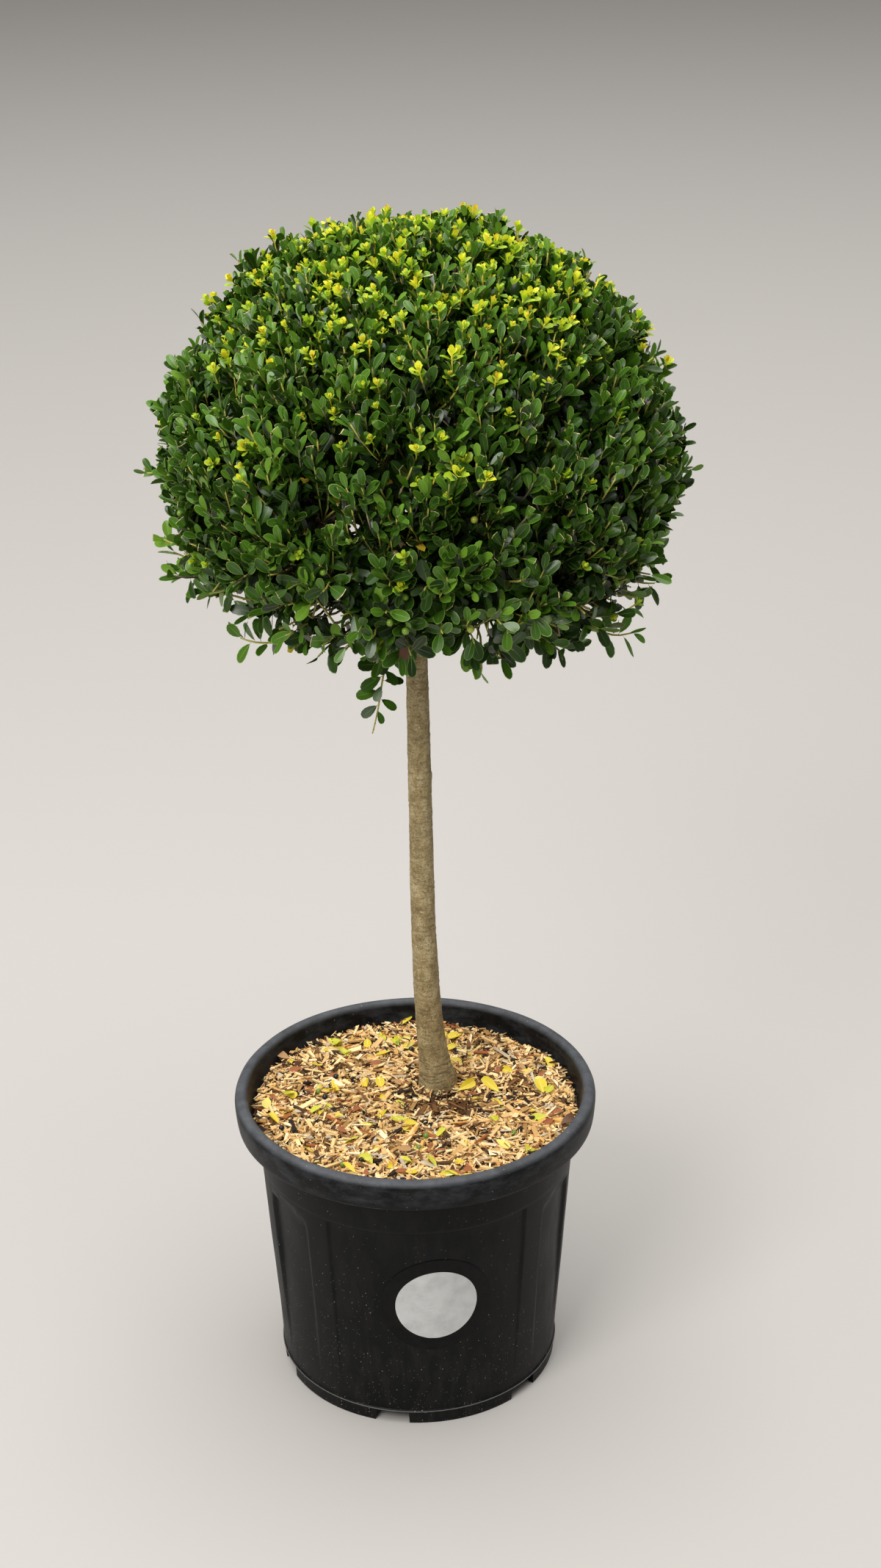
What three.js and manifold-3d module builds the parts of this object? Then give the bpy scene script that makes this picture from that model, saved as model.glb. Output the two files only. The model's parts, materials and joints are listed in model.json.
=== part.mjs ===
// A small-leaved evergreen shrub trained as a standard: a clear stem with a clipped, slightly
// flattened ball of foliage, growing in a black nursery container topped with wood chips.
// Millimetres, +Z up. The origin is the centre of the container's underside.
import * as THREE from "three";
import { mergeVertices } from "three/addons/utils/BufferGeometryUtils.js";
import Module from "manifold-3d";

const wasm = await Module();
wasm.setup();

// ---------------------------------------------------------------- driving sizes
const GAP = 0.4; // clearance between pieces that touch

// container
const POT_H = 291.8; // top of the rolled lip
const LIP_R = 170; // widest radius of the lip
const LIP_FOOT_Z = 262.8; // lower edge of the lip's skirt
const BODY_R0 = 132.2; // body radius at BODY_Z0
const BODY_Z0 = 14;
const BODY_SLOPE = 0.0756; // radius gained for each mm of height
const FOOT_R = 132; // outer radius of the foot ring
const FOOT_IN = 127.4; // its inner radius
const FLOOR_Z = 12; // underside of the floor plate
const FLOOR_T = 4;
const PAD_R = 30; // central foot
const WALL = 4.6; // wall at the pilasters
const PANEL_CENTRE = 5; // degrees, of the front panel
const PANELS = 3; // wide panels round the wall, with a narrow flute between each two
const PANEL_HALF = 38; // half the width of a panel in degrees
const PANEL_DEPTH = 2; // how far a panel is set back at its top
const FLUTE_HALF = 11; // half the width of a flute in degrees
const FLUTE_DEPTH = 2.9;
const PANEL_TOP = 224;
const PANEL_FOOT = 34; // panels and flutes run out here
const NOTCHES = 6; // drainage notches in the foot ring
const NOTCH_CENTRE = -11; // degrees
const NOTCH_W = 31;
const NOTCH_H = 12.6;
const RIB_W = 4;

// growing medium and the wood chips on it
const COMPOST_TOP = 262;
const MULCH_TOP = 269.5;
const MULCH_UNEVEN = 2.4;

// round self-adhesive label, blank
const LABEL_D = 104;
const LABEL_ANGLE = 7.5; // degrees from the front
const LABEL_Z = 140;
const LABEL_T = 0.45;

// stem: x, y, z and radius up to the fork
const STEM = [
  [21.4, 37.6, 262.4, 18.6],
  [21.2, 37, 268, 17.8],
  [20.5, 35.7, 278, 16.9],
  [18.6, 33, 298, 14.8],
  [15.6, 29.4, 330, 13.1],
  [12.6, 25, 376, 12.2],
  [10.4, 22, 450, 11.3],
  [8.8, 19, 650, 10.1],
  [8, 17, 730, 9.6],
  [8, 15, 790, 9],
  [9.5, 12, 838, 6.8],
];
const STEM_SIDES = 14;

// crown: an uneven flattened ball
const CROWN = {
  x: 20,
  y: 3,
  z: 911,
  rx: 225, // half-width
  ry: 216, // half-depth
  up: 214, // height above the widest level
  down: 151, // depth below it
  roundUp: 1.9, // superellipse exponent above
  roundDown: 4.1, // and below, where the ball is clipped flat
  lift: 20, // how much higher the underside is at the front
};
const LUMP = 5.5; // unevenness of the clipped surface
const VALLEY = 9; // depth of the valleys between masses

// hollow under the crown, where the boughs are bare
const CORE = [
  [0, 700],
  [92, 700],
  [92, 775],
  [86, 815],
  [70, 858],
  [44, 892],
  [16, 906],
  [0, 908],
];

// masses: one on top, a ring above, a ring at the widest level and a ring of skirts
// from = azimuth of the first one; swell = how far each stands proud of the ball, in mm
const RINGS = [
  { name: "crown_top", n: 1, lat: 90, from: 0, swell: [-2] },
  { name: "crown_upper", n: 5, lat: 43, from: -64, swell: [0, -3, 3, 9, -5] },
  { name: "crown_side", n: 7, lat: 4, from: -90, swell: [-4, 7, -9, 3, 2, 6, 10] },
  { name: "crown_skirt", n: 6, lat: -40, from: -118, swell: [3, 8, -4, 2, 0, -5] },
];
const SWELL_REACH = 0.42; // radians over which a swell dies away
// smaller swells and dents where the shears cut unevenly: azimuth, latitude, rise in mm, reach in radians
const DENTS = [
  [-13, -21, -16, 0.19],
  [-82, -42, -12, 0.16],
  [-57, -40, -8, 0.13],
  [-35, -29, 8, 0.13],
  [118, 74, -9, 0.16],
  [45, 66, 9, 0.15],
  [-139, -34, 6, 0.13],
];

// boughs: the height where each leaves the stem, its base radius, and how steeply it climbs
const BOUGH_R = 5.2;
const BOUGH_TIP = 2.6;
const BOUGHS = [
  { to: "crown_top", height: 838, r: 5.4, climb: 84 },
  { ring: "crown_upper", heights: [815, 826, 808, 822, 812], r: 4.8, climb: 52 },
  { ring: "crown_side", heights: [786, 796, 779, 791, 783, 799, 775], r: 4.6, climb: 26 },
];

// small shoots that hang below the clipped underside
const SHOOTS = [{ name: "hanging_shoot", at: [-21, -66, 732], size: [26, 20, 50], tip: [-4, 0, -1] }];

// ---------------------------------------------------------------- helpers
const D = Math.PI / 180;
const group = new THREE.Group();

const material = (color, roughness, metalness = 0) =>
  new THREE.MeshStandardMaterial({ color, roughness, metalness });
const LOOKS = {
  pot: material(0x1d1e20, 0.55),
  compost: material(0x2c2119, 0.95),
  mulch: material(0xb8935f, 0.9),
  label: material(0xc9cbc9, 0.5),
  bark: material(0x7d7258, 0.9),
  leaf: material(0x2f5a22, 0.6),
  shoot: material(0x8fae2c, 0.6),
};

const addMesh = (name, geometry, look) => {
  const mesh = new THREE.Mesh(geometry, look);
  mesh.name = name;
  group.add(mesh);
  return mesh;
};

// a closed surface from points and triangles
const surface = (points, faces) => {
  const g = new THREE.BufferGeometry();
  g.setAttribute("position", new THREE.Float32BufferAttribute(points.flat(), 3));
  g.setIndex(faces.flat());
  return g;
};

const toSolid = (geometry) => {
  const bare = geometry.clone();
  for (const key of Object.keys(bare.attributes))
    if (key !== "position") bare.deleteAttribute(key);
  const merged = mergeVertices(bare, 1e-4);
  const made = new wasm.Manifold(
    new wasm.Mesh({
      numProp: 3,
      vertProperties: new Float32Array(merged.attributes.position.array),
      triVerts: new Uint32Array(merged.index.array),
    }),
  );
  return made;
};

const toGeometry = (solid) => {
  const m = solid.getMesh();
  const out = [];
  for (let i = 0; i < m.numVert; i++)
    out.push(
      m.vertProperties[i * m.numProp],
      m.vertProperties[i * m.numProp + 1],
      m.vertProperties[i * m.numProp + 2],
    );
  const g = new THREE.BufferGeometry();
  g.setAttribute("position", new THREE.Float32BufferAttribute(out, 3));
  g.setIndex(Array.from(m.triVerts));
  return g;
};

// a box with its middle at (x, y, z), turned about Z
const boxAt = (sx, sy, sz, x, y, z, turn = 0) => {
  const g = new THREE.BoxGeometry(sx, sy, sz);
  g.rotateZ(turn);
  g.translate(x, y, z);
  return toSolid(g);
};

// A body turned about Z from a closed profile that starts and ends on the axis, going up the
// outside and back down the inside. radius(r, z, angle) may press the outer wall in.
const turned = (profile, angles, radius = (r) => r) => {
  const points = [];
  const rings = profile.map(([r, z]) => {
    if (r === 0) {
      points.push([0, 0, z]);
      return points.length - 1;
    }
    const start = points.length;
    for (const a of angles) {
      const rr = radius(r, z, a);
      points.push([rr * Math.sin(a * D), -rr * Math.cos(a * D), z]);
    }
    return start;
  });
  const n = angles.length;
  const faces = [];
  for (let i = 0; i + 1 < profile.length; i++) {
    const lowAxis = profile[i][0] === 0;
    const highAxis = profile[i + 1][0] === 0;
    for (let j = 0; j < n; j++) {
      const k = (j + 1) % n;
      if (lowAxis && !highAxis) faces.push([rings[i], rings[i + 1] + k, rings[i + 1] + j]);
      else if (highAxis && !lowAxis) faces.push([rings[i] + j, rings[i] + k, rings[i + 1]]);
      else if (!lowAxis && !highAxis) {
        faces.push([rings[i] + j, rings[i] + k, rings[i + 1] + k]);
        faces.push([rings[i] + j, rings[i + 1] + k, rings[i + 1] + j]);
      }
    }
  }
  return surface(points, faces);
};

// a tapering limb through a list of [x, y, z, radius]; its first rings may lie flat
const limb = (path, sides, flatRings = 0) => {
  const spots = path.map((p) => new THREE.Vector3(p[0], p[1], p[2]));
  const points = [];
  const faces = [];
  let across = new THREE.Vector3(1, 0, 0);
  spots.forEach((spot, i) => {
    const before = spots[Math.max(i - 1, 0)];
    const after = spots[Math.min(i + 1, spots.length - 1)];
    const along = new THREE.Vector3().subVectors(after, before).normalize();
    if (i < flatRings) along.set(0, 0, 1);
    across.addScaledVector(along, -across.dot(along));
    if (across.lengthSq() < 1e-6) across.set(0, 1, 0).addScaledVector(along, -along.y);
    across.normalize();
    const other = new THREE.Vector3().crossVectors(along, across);
    for (let j = 0; j < sides; j++) {
      const a = (j / sides) * 2 * Math.PI;
      const r = path[i][3];
      points.push([
        spot.x + r * (Math.cos(a) * across.x + Math.sin(a) * other.x),
        spot.y + r * (Math.cos(a) * across.y + Math.sin(a) * other.y),
        spot.z + r * (Math.cos(a) * across.z + Math.sin(a) * other.z),
      ]);
    }
    across = across.clone();
  });
  const last = spots.length - 1;
  for (let i = 0; i < last; i++)
    for (let j = 0; j < sides; j++) {
      const k = (j + 1) % sides;
      const a = i * sides + j;
      const b = i * sides + k;
      faces.push([a, b, b + sides], [a, b + sides, a + sides]);
    }
  points.push(spots[0].toArray(), spots[last].toArray());
  for (let j = 0; j < sides; j++) {
    const k = (j + 1) % sides;
    faces.push([points.length - 2, k, j]);
    faces.push([points.length - 1, last * sides + j, last * sides + k]);
  }
  return surface(points, faces);
};

// ---------------------------------------------------------------- container
const bodyR = (z) => BODY_R0 + (z - BODY_Z0) * BODY_SLOPE;
const innerR = (z) => bodyR(z) - WALL;

// columns follow the panels' edges, so that the recesses have clean sides
const PITCH = 360 / PANELS;
const EDGE = 0.8; // half the width of a panel's or a flute's side, in degrees
const SECTOR = [
  -PANEL_HALF + EDGE, -24.8, -12.4, 0, 12.4, 24.8, PANEL_HALF - EDGE,
  PANEL_HALF + EDGE, PITCH / 2 - FLUTE_HALF - EDGE,
  PITCH / 2 - FLUTE_HALF + EDGE, PITCH / 2, PITCH / 2 + FLUTE_HALF - EDGE,
  PITCH / 2 + FLUTE_HALF + EDGE, PITCH - PANEL_HALF - EDGE,
];
const COLUMNS = Array.from({ length: PANELS }, (_, q) => q * PITCH + PANEL_CENTRE).flatMap((q) =>
  SECTOR.map((a) => a + q),
);

const POT_OUTSIDE = [
  [FOOT_R, 0],
  [FOOT_R, 13],
  [bodyR(16) - 0.4, 16],
  [bodyR(PANEL_FOOT), PANEL_FOOT],
  [bodyR(128), 128],
  [bodyR(PANEL_TOP - 3), PANEL_TOP - 3],
  [bodyR(PANEL_TOP + 2), PANEL_TOP + 2],
  [bodyR(LIP_FOOT_Z), LIP_FOOT_Z],
];
const LIP = [
  [158.6, 276],
  [161.4, 286.4],
  [165.4, 284],
  [166.6, 275.6],
  [163.8, LIP_FOOT_Z + 0.8],
  [166.4, LIP_FOOT_Z],
  [169.2, 268.6],
  [LIP_R, 277],
  [168.4, 285.4],
  [164.6, 290.4],
  [160.8, POT_H],
  [158.2, 289.6],
  [156.6, 280],
  [152.4, 266.6],
];
const POT_INSIDE = [
  [innerR(256), 256],
  [innerR(24), 24],
  [124.5, FLOOR_Z + FLOOR_T],
  [0, FLOOR_Z + FLOOR_T],
];
const POT_PROFILE = [
  [0, 0],
  [PAD_R, 0],
  [PAD_R, FLOOR_Z],
  [FOOT_IN, FLOOR_Z],
  [FOOT_IN, 0],
  ...POT_OUTSIDE,
  ...LIP,
  ...POT_INSIDE,
];
const outerStart = POT_PROFILE.indexOf(POT_OUTSIDE[0]);
const outerEnd = outerStart + POT_OUTSIDE.length;

// panels and flutes are set back between their edges, and run out at their foot
const setBack = (r, z, angle) => {
  if (z <= PANEL_FOOT || z >= PANEL_TOP) return 0;
  const turn = (((angle - PANEL_CENTRE + PITCH / 2) % PITCH) + PITCH) % PITCH;
  const off = Math.abs(turn - PITCH / 2);
  const fade = Math.min(1, ((z - PANEL_FOOT) / (PANEL_TOP - PANEL_FOOT)) * 1.6);
  if (off < PANEL_HALF) return PANEL_DEPTH * fade;
  return off > PITCH / 2 - FLUTE_HALF ? FLUTE_DEPTH * fade : 0;
};
const outside = new Set(POT_PROFILE.slice(outerStart, outerEnd).map(([r, z]) => r + "," + z));
const potGeometry = turned(POT_PROFILE, COLUMNS, (r, z, a) =>
  outside.has(r + "," + z) ? r - setBack(r, z, a) : r,
);
let pot = toSolid(potGeometry);
for (let i = 0; i < NOTCHES; i++) {
  const a = (NOTCH_CENTRE + (i * 360) / NOTCHES) * D;
  // the notch through the foot ring, and the drain slot in the floor behind it
  pot = pot.subtract(
    boxAt(NOTCH_W, 20, NOTCH_H * 2, 130 * Math.sin(a), -130 * Math.cos(a), 0, a),
  );
  pot = pot.subtract(boxAt(16, 12, 14, 112 * Math.sin(a), -112 * Math.cos(a), FLOOR_Z + 2, a));
  // ribs under the floor, between the notches
  const b = a + 30 * D;
  const mid = (PAD_R + FOOT_IN) / 2;
  pot = pot.add(
    boxAt(RIB_W, FOOT_IN - PAD_R + 3, FLOOR_Z + 1, mid * Math.sin(b), -mid * Math.cos(b), (FLOOR_Z + 1) / 2, b),
  );
}
addMesh("pot", toGeometry(pot), LOOKS.pot);

// ---------------------------------------------------------------- stem
const stemGeometry = limb(STEM, STEM_SIDES, 1);
const foot = STEM[0];
const stemClear = toSolid(
  limb(
    [[foot[0], foot[1], foot[2] - 8, foot[3]], ...STEM].map(([x, y, z, r]) => [x, y, z, r + GAP + 0.3]),
    STEM_SIDES,
    2,
  ),
);
addMesh("trunk", stemGeometry, LOOKS.bark);

// ---------------------------------------------------------------- growing medium
const AROUND = Array.from({ length: 28 }, (_, i) => (i * 360) / 28);
const compost = turned(
  [
    [0, FLOOR_Z + FLOOR_T + GAP],
    [123.5, FLOOR_Z + FLOOR_T + GAP],
    [innerR(25) - 1.2, 25],
    [innerR(254) - GAP - 0.2, 254],
    [innerR(256) - GAP - 0.2, COMPOST_TOP - GAP],
    [0, COMPOST_TOP - GAP],
  ],
  COLUMNS,
);
addMesh("compost", compost, LOOKS.compost);

const mulchHeight = (x, y) =>
  MULCH_TOP +
  MULCH_UNEVEN * (0.5 * Math.sin(x / 31 + 0.7) + 0.5 * Math.cos(y / 27 - 0.4) + 0.35 * Math.sin((x + y) / 17)) -
  5 * Math.exp(-((x - 26) ** 2 + (y - 20) ** 2) / 1900);
const mulchGeometry = (() => {
  const g = turned(
    [
      [0, COMPOST_TOP + GAP],
      [innerR(256) - GAP - 0.2, COMPOST_TOP + GAP],
      [149.6, 265.4],
      [150.6, 267],
      [118, MULCH_TOP],
      [78, MULCH_TOP],
      [40, MULCH_TOP],
      [0, MULCH_TOP],
    ],
    AROUND,
  );
  const p = g.getAttribute("position");
  for (let i = 0; i < p.count; i++)
    if (Math.abs(p.getZ(i) - MULCH_TOP) < 1e-3)
      p.setZ(i, mulchHeight(p.getX(i), p.getY(i)));
  return g;
})();
addMesh("mulch", toGeometry(toSolid(mulchGeometry).subtract(stemClear)), LOOKS.mulch);

// ---------------------------------------------------------------- label
// a thin disc that follows the panel: what a round punch cuts from a skin round the container
const skin = (lift) => {
  const wall = POT_OUTSIDE.filter(([, z]) => z >= PANEL_FOOT && z < PANEL_TOP);
  const ends = [wall[0][1], wall[wall.length - 1][1]];
  return toSolid(
    turned([[0, ends[0]], ...wall, [0, ends[1]]], COLUMNS, (r, z, a) => r - setBack(r, z, a) + lift),
  );
};
const punch = (() => {
  const g = new THREE.CylinderGeometry(LABEL_D / 2, LABEL_D / 2, 80, 28);
  g.translate(0, -BODY_R0, 0);
  g.rotateZ(LABEL_ANGLE * D);
  g.translate(0, 0, LABEL_Z);
  return toSolid(g);
})();
const labelGeometry = toGeometry(skin(GAP + LABEL_T).subtract(skin(GAP)).intersect(punch));
addMesh("pot_label", labelGeometry, LOOKS.label);

// ---------------------------------------------------------------- crown
const seeds = [];
for (const ring of RINGS)
  for (let i = 0; i < ring.n; i++) {
    const az = ring.from + (i * 360) / ring.n;
    seeds.push({
      name: ring.n === 1 ? ring.name : ring.name + "_" + (i + 1),
      swell: ring.swell[i],
      dir: new THREE.Vector3(
        Math.cos(ring.lat * D) * Math.cos(az * D),
        Math.cos(ring.lat * D) * Math.sin(az * D),
        Math.sin(ring.lat * D),
      ),
    });
  }

const crownPoint = (dir) => {
  const across = Math.hypot(dir.x / CROWN.rx, dir.y / CROWN.ry);
  const high = dir.z >= 0;
  const n = high ? CROWN.roundUp : CROWN.roundDown;
  const tall = Math.abs(dir.z) / (high ? CROWN.up : CROWN.down);
  let rho = 1 / (across ** n + tall ** n) ** (1 / n);
  const wave =
    Math.sin(5.1 * dir.x + 3.3 * dir.z + 0.8) +
    Math.sin(4.4 * dir.y - 4.9 * dir.z + 2.1) +
    Math.sin(7.7 * dir.x - 6.1 * dir.y + 4.3 * dir.z);
  const away = seeds.map((s) => dir.angleTo(s.dir));
  const [first, second] = [...away].sort((a, b) => a - b);
  const between = Math.max(0, 1 - (second - first) / 0.28);
  rho += (LUMP * wave) / 3 - VALLEY * between * between;
  seeds.forEach((s, i) => {
    rho += s.swell * Math.exp(-((away[i] / SWELL_REACH) ** 2));
  });
  for (const [az, lat, rise, reach] of DENTS) {
    const middle = new THREE.Vector3(Math.cos(lat * D) * Math.cos(az * D), Math.cos(lat * D) * Math.sin(az * D), Math.sin(lat * D));
    rho += rise * Math.exp(-((dir.angleTo(middle) / reach) ** 2));
  }
  const p = dir.clone().multiplyScalar(rho);
  if (p.z < 0) p.z += CROWN.lift * Math.max(0, -p.y / CROWN.ry) * Math.min(1, -p.z / 90);
  return [CROWN.x + p.x, CROWN.y + p.y, CROWN.z + p.z];
};

const crownGeometry = (() => {
  const cols = 40;
  const rows = 19;
  const points = [];
  const faces = [];
  points.push(crownPoint(new THREE.Vector3(0, 0, -1)));
  for (let i = 1; i < rows; i++) {
    const lat = -90 + (i * 180) / rows;
    for (let j = 0; j < cols; j++) {
      const az = ((j + (i % 2) / 2) / cols) * 2 * Math.PI;
      points.push(
        crownPoint(
          new THREE.Vector3(Math.cos(lat * D) * Math.cos(az), Math.cos(lat * D) * Math.sin(az), Math.sin(lat * D)),
        ),
      );
    }
  }
  points.push(crownPoint(new THREE.Vector3(0, 0, 1)));
  const at = (i, j) => 1 + (i - 1) * cols + (((j % cols) + cols) % cols);
  for (let j = 0; j < cols; j++) {
    faces.push([0, at(1, j + 1), at(1, j)]);
    faces.push([points.length - 1, at(rows - 1, j), at(rows - 1, j + 1)]);
  }
  for (let i = 1; i < rows - 1; i++)
    for (let j = 0; j < cols; j++) {
      // every other ring is turned half a step
      if (i % 2 === 1) {
        faces.push([at(i, j), at(i, j + 1), at(i + 1, j)]);
        faces.push([at(i, j), at(i + 1, j), at(i + 1, j - 1)]);
      } else {
        faces.push([at(i, j), at(i, j + 1), at(i + 1, j + 1)]);
        faces.push([at(i, j), at(i + 1, j + 1), at(i + 1, j)]);
      }
    }
  return surface(points, faces);
})();

const coreAt = (shrink) => {
  const g = turned(
    CORE.map(([r, z]) => [r === 0 ? 0 : r - shrink, z - (z > 900 ? shrink : 0)]),
    Array.from({ length: 16 }, (_, i) => i * 22.5),
  );
  g.translate(CROWN.x, CROWN.y + 4, 0);
  return toSolid(g);
};
const core = coreAt(0);
const crown = toSolid(crownGeometry).subtract(core);

// each mass is the part of the crown nearest its own seed
const REACH = 150; // the seeds lie this far out from the middle of the crown
const seedSpot = (s) =>
  new THREE.Vector3(CROWN.x, CROWN.y, CROWN.z - 6).addScaledVector(
    new THREE.Vector3(s.dir.x, s.dir.y, s.dir.z * 0.86),
    REACH,
  );
const farSide = (a, b, gap) => {
  // a large block on b's side of the plane halfway between a and b
  const mid = a.clone().add(b).multiplyScalar(0.5);
  const away = b.clone().sub(a).normalize();
  const size = 900;
  const g = new THREE.BoxGeometry(size, size, size);
  g.applyQuaternion(new THREE.Quaternion().setFromUnitVectors(new THREE.Vector3(0, 0, 1), away));
  const c = mid.addScaledVector(away, size / 2 - gap / 2);
  g.translate(c.x, c.y, c.z);
  return toSolid(g);
};
const massSpots = {};
for (const s of seeds) {
  let mass = crown;
  const mine = seedSpot(s);
  for (const other of seeds) {
    if (other === s) continue;
    const theirs = seedSpot(other);
    if (mine.distanceTo(theirs) > 2.1 * REACH) continue;
    mass = mass.subtract(farSide(mine, theirs, 0.7));
  }
  // keep the main body where a cut leaves slivers
  const bodies = mass.decompose().sort((a, b) => b.volume() - a.volume());
  addMesh(s.name, toGeometry(bodies[0]), LOOKS.leaf);
  massSpots[s.name] = mine;
}

// ---------------------------------------------------------------- boughs
const inCore = coreAt(GAP);
const stemAt = (height) => {
  const i = Math.max(1, STEM.findIndex((p) => p[2] >= height - 1e-6));
  const [a, b] = [STEM[i - 1], STEM[i]];
  const t = (height - a[2]) / (b[2] - a[2]);
  return new THREE.Vector3(a[0] + t * (b[0] - a[0]), a[1] + t * (b[1] - a[1]), height);
};
const taken = []; // room that is already taken by the stem and the other boughs
taken.push(stemClear);
const addBough = (name, target, height, r, climb) => {
  const from = stemAt(height);
  const flat = new THREE.Vector3(target.x - from.x, target.y - from.y, 0);
  const heading = flat.lengthSq() > 400 ? flat.normalize() : new THREE.Vector3(0.2, -0.1, 0);
  const out = new THREE.Vector3(
    heading.x * Math.cos(climb * D),
    heading.y * Math.cos(climb * D),
    Math.sin(climb * D),
  );
  const length = 150;
  const path = [];
  for (let i = 0; i <= 4; i++) {
    const t = i / 4;
    const p = from.clone().addScaledVector(out, length * t);
    p.z += 16 * t * t; // boughs turn up towards the light
    path.push([p.x, p.y, p.z, r + (BOUGH_TIP - r) * t]);
  }
  let solid = toSolid(limb(path, 7)).intersect(inCore);
  for (const room of taken) solid = solid.subtract(room);
  taken.push(toSolid(limb(path.map(([x, y, z, rr]) => [x, y, z, rr + GAP]), 7)));
  const bodies = solid.decompose().sort((a, b) => b.volume() - a.volume());
  addMesh(name, toGeometry(bodies[0]), LOOKS.bark);
};
let boughCount = 0;
for (const b of BOUGHS) {
  if (b.to) addBough("bough_leader", massSpots[b.to], b.height, b.r, b.climb);
  else
    b.heights.forEach((h, i) => {
      boughCount += 1;
      addBough("bough_" + boughCount, massSpots[b.ring + "_" + (i + 1)], h, b.r, b.climb);
    });
}

// ---------------------------------------------------------------- hanging shoots
for (const s of SHOOTS) {
  const points = [];
  const faces = [];
  const cols = 10;
  const rows = 7;
  const [sx, sy, sz] = s.size;
  const spot = (lat, az) => {
    const k = 1 + 0.12 * Math.sin(3 * az + 4 * lat);
    const t = (1 - Math.sin(lat)) / 2; // 0 at the top, 1 at the hanging tip
    const narrow = 1 - 0.45 * t;
    return [
      s.at[0] + s.tip[0] * t + sx * k * narrow * Math.cos(lat) * Math.cos(az),
      s.at[1] + s.tip[1] * t + sy * k * narrow * Math.cos(lat) * Math.sin(az),
      s.at[2] + sz * Math.sin(lat),
    ];
  };
  points.push(spot(-Math.PI / 2, 0));
  for (let i = 1; i < rows; i++)
    for (let j = 0; j < cols; j++)
      points.push(spot(-Math.PI / 2 + (i * Math.PI) / rows, (j / cols) * 2 * Math.PI));
  points.push(spot(Math.PI / 2, 0));
  const at = (i, j) => 1 + (i - 1) * cols + (j % cols);
  for (let j = 0; j < cols; j++) {
    faces.push([0, at(1, j + 1), at(1, j)]);
    faces.push([points.length - 1, at(rows - 1, j), at(rows - 1, j + 1)]);
    for (let i = 1; i < rows - 1; i++) {
      faces.push([at(i, j), at(i, j + 1), at(i + 1, j + 1)]);
      faces.push([at(i, j), at(i + 1, j + 1), at(i + 1, j)]);
    }
  }
  // the shoot ends just under the foliage that it grows from
  let solid = toSolid(surface(points, faces));
  const lifted = crownGeometry.clone();
  lifted.translate(-CROWN.x, -CROWN.y, -CROWN.z);
  lifted.scale(1.004, 1.004, 1.006);
  lifted.translate(CROWN.x, CROWN.y, CROWN.z);
  solid = solid.subtract(toSolid(lifted));
  const bodies = solid.decompose().sort((a, b) => b.volume() - a.volume());
  addMesh(s.name, toGeometry(bodies[0]), LOOKS.leaf);
}

export default group;
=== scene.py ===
# Looks of a small-leaved evergreen shrub trained as a standard, in a black nursery container.
# Metres, +Z up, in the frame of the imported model. Everything random is seeded.
import json
import math

import bmesh
import bpy
import numpy as np
from mathutils import Matrix, Vector, kdtree

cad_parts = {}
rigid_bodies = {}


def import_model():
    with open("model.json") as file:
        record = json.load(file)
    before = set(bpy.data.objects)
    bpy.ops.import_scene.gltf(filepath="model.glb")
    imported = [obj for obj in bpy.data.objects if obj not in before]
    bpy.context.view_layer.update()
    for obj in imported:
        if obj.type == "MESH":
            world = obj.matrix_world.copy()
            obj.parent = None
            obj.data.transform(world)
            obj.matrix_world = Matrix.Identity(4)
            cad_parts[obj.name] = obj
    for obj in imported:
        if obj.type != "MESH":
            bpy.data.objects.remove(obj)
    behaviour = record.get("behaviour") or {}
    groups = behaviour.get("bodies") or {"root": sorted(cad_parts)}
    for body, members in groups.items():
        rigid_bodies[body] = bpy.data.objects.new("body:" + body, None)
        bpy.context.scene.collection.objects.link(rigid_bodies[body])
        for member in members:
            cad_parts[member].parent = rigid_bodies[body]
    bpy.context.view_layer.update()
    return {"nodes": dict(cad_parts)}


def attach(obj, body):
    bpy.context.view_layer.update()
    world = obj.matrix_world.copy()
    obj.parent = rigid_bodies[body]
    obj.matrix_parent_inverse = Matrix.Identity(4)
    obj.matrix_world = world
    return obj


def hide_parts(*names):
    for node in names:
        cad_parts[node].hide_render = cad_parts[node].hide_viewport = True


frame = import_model()
D = math.pi / 180


# ------------------------------------------------------------------ small tools
def rng(seed):
    return np.random.default_rng(seed)


def unit(v):
    v = np.asarray(v, float)
    return v / np.maximum(np.linalg.norm(v, axis=-1, keepdims=True), 1e-12)


def smooth_step(a, b, x):
    t = np.clip((np.asarray(x, float) - a) / (b - a), 0, 1)
    return t * t * (3 - 2 * t)


_GRADIENT = unit(rng(901).normal(size=(4096, 3)))
_TABLE = rng(902).permutation(4096)


def noise(p, scale=1.0, seed=0):
    """Smooth gradient noise at points p, roughly -1 to 1."""
    q = np.asarray(p, float) * scale + 17.31 * seed
    cell = np.floor(q).astype(np.int64)
    f = q - cell
    w = f * f * f * (f * (f * 6 - 15) + 10)
    total = np.zeros(len(q))
    for dx in (0, 1):
        for dy in (0, 1):
            for dz in (0, 1):
                c = cell + (dx, dy, dz)
                h = _TABLE[(c[:, 0] + 31 * seed) & 4095]
                h = _TABLE[(h + c[:, 1]) & 4095]
                h = _TABLE[(h + c[:, 2]) & 4095]
                dot = np.einsum("ij,ij->i", _GRADIENT[h], f - (dx, dy, dz))
                wx = w[:, 0] if dx else 1 - w[:, 0]
                wy = w[:, 1] if dy else 1 - w[:, 1]
                wz = w[:, 2] if dz else 1 - w[:, 2]
                total += wx * wy * wz * dot
    return total * 1.6


def rough_noise(p, scale, seed=0, octaves=3, gain=0.5):
    total, size, norm = 0, 1.0, 0
    for i in range(octaves):
        total = total + size * noise(p, scale * 2**i, seed + i)
        norm += size
        size *= gain
    return total / norm


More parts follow.
